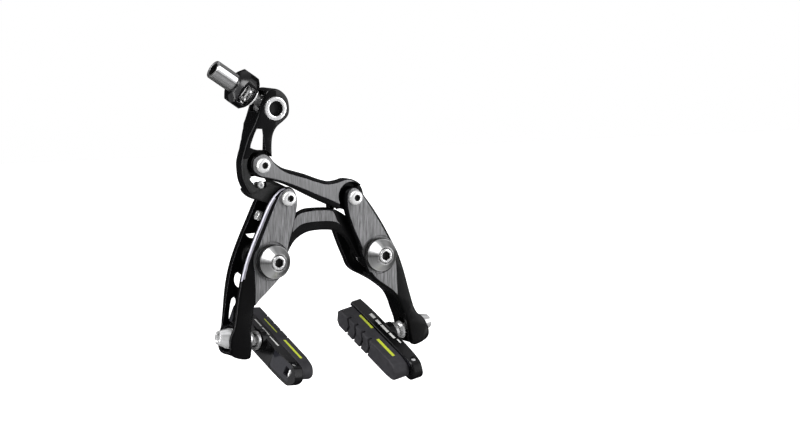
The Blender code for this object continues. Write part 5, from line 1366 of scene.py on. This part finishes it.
# ------------------------------------------------------------ camera (metres from here on)
VIEW_TURN, VIEW_DROP = math.radians(27.7), math.radians(7.0)
VIEW = Vector((math.sin(VIEW_TURN) * math.cos(VIEW_DROP),
               math.cos(VIEW_TURN) * math.cos(VIEW_DROP), -math.sin(VIEW_DROP)))
RIGHT = Vector((math.cos(VIEW_TURN), -math.sin(VIEW_TURN), 0))
UP = Vector((math.sin(VIEW_TURN) * math.sin(VIEW_DROP),
             math.cos(VIEW_TURN) * math.sin(VIEW_DROP), math.cos(VIEW_DROP)))
CAMERA_TARGET = Vector((0.022, -0.023, 0.0))
CAMERA_DISTANCE = 1.2
LIGHT_TARGET = Vector((0.02, -0.02, 0.0))


def make_camera():
    data = bpy.data.cameras.new("camera")
    camera = bpy.data.objects.new("camera", data)
    bpy.context.scene.collection.objects.link(camera)
    camera.matrix_world = (Matrix.Translation(CAMERA_TARGET - VIEW * CAMERA_DISTANCE)
                           @ Matrix((RIGHT, UP, -VIEW)).transposed().to_4x4())
    data.sensor_width = 36.0
    data.lens = 117.612
    data.shift_x = 0.08925
    data.shift_y = 0.043
    data.clip_start = 0.05
    data.clip_end = 20.0
    bpy.context.scene.camera = camera


def area_light(name, offset, width, power, height=None):
    """Soft light placed in the camera's own axes (right, up, to viewer)."""
    data = bpy.data.lights.new(name, 'AREA')
    data.shape = 'RECTANGLE' if height else 'SQUARE'
    data.size = width
    if height:
        data.size_y = height
    data.energy = power
    light = bpy.data.objects.new(name, data)
    bpy.context.scene.collection.objects.link(light)
    place = LIGHT_TARGET + (RIGHT * offset[0] + UP * offset[1] - VIEW * offset[2])
    light.location = place
    aim = (LIGHT_TARGET - place).normalized()
    light.rotation_euler = aim.to_track_quat('-Z', 'Y').to_euler()


def make_floor():
    half, z = 4, -0.32
    mesh = bpy.data.meshes.new("floor")
    mesh.from_pydata([(-half, -half, z), (half, -half, z), (half, half, z), (-half, half, z)],
                     [], [(0, 1, 2, 3)])
    floor = bpy.data.objects.new("floor", mesh)
    bpy.context.scene.collection.objects.link(floor)
    mat = Material("floor_white")
    mesh.materials.append(mat.finish(
        Base_Color=mat.mix(mat.noise(scale=3.0, detail=2), grey(0.93), grey(0.97)),
        Roughness=0.9, Emission_Color=(1, 1, 1, 1), Emission_Strength=0.6))
    floor.visible_glossy = False


make_camera()
area_light("key", offset=(-0.35, 0.65, 0.45), width=0.30, power=5.0)
area_light("left_strip", offset=(-0.75, 0.10, 0.20), width=0.06, power=2.2, height=0.9)
area_light("right_strip", offset=(0.75, 0.15, 0.35), width=0.06, power=1.4, height=0.8)
make_floor()

# ------------------------------------------------------------ world
STUDIO_LEVEL = 0.035        # dim light between the soft patches
# soft patches seen in reflections: direction, cosine where the patch starts, cosine where
# it is full, strength
PATCHES = [
    ((0.46, -0.88, -0.12), 0.35, 0.97, 0.36),
    (UP, 0.55, 0.95, 0.75),
    (-RIGHT * 0.9 + UP * 0.45 - VIEW * 0.35, 0.87, 0.93, 2.6),
    (-RIGHT * 0.3 + UP * 0.75 - VIEW * 0.65, 0.93, 0.97, 2.2),
    (RIGHT * 0.9 + UP * 0.25 - VIEW * 0.2, 0.90, 0.95, 1.6),
    (-RIGHT * 1.0 - UP * 0.15 + VIEW * 0.1, 0.93, 0.97, 1.2),
    (-RIGHT * 0.35 - UP * 0.2 - VIEW * 1.0, 0.95, 0.99, 0.25),
    (UP * -0.9 - VIEW * 0.4, 0.75, 0.95, 0.30)]
REFLECTION_TINT = (1.0, 1.0, 1.03)


def make_world():
    """Plain white, but glossy rays see a dim studio with soft patches."""
    world = bpy.data.worlds.new("studio")
    bpy.context.scene.world = world
    world.use_nodes = True
    nodes = Nodes(world.node_tree)
    direction = nodes.new('ShaderNodeTexCoord').outputs['Generated']
    level = STUDIO_LEVEL
    for towards, start, full, strength in PATCHES:
        cosine = nodes.dot(direction, tuple(Vector(towards).normalized()))
        level = nodes.plus(level, nodes.remap(cosine, span=(start, full), to=(0, strength),
                                              interpolation='SMOOTHSTEP'))
    reflected = nodes.new('ShaderNodeBackground')
    colour = nodes.new('ShaderNodeCombineColor')
    for k, tint in enumerate(REFLECTION_TINT):
        nodes.put(colour.inputs[k], nodes.times(level, tint))
    nodes.put(reflected.inputs[0], colour.outputs[0])
    plain = nodes.new('ShaderNodeBackground')
    plain.inputs[0].default_value = (1, 1, 1, 1)
    for background in (reflected, plain):
        background.inputs[1].default_value = 1.0
    mix = nodes.new('ShaderNodeMixShader')
    nodes.put(mix.inputs[0], nodes.new('ShaderNodeLightPath').outputs['Is Glossy Ray'])
    nodes.put(mix.inputs[1], plain.outputs[0])
    nodes.put(mix.inputs[2], reflected.outputs[0])
    nodes.put(nodes.new('ShaderNodeOutputWorld').inputs[0], mix.outputs[0])


make_world()
bpy.context.scene.view_settings.view_transform = 'Standard'
bpy.context.scene.view_settings.look = 'None'

bpy.context.view_layer.update()
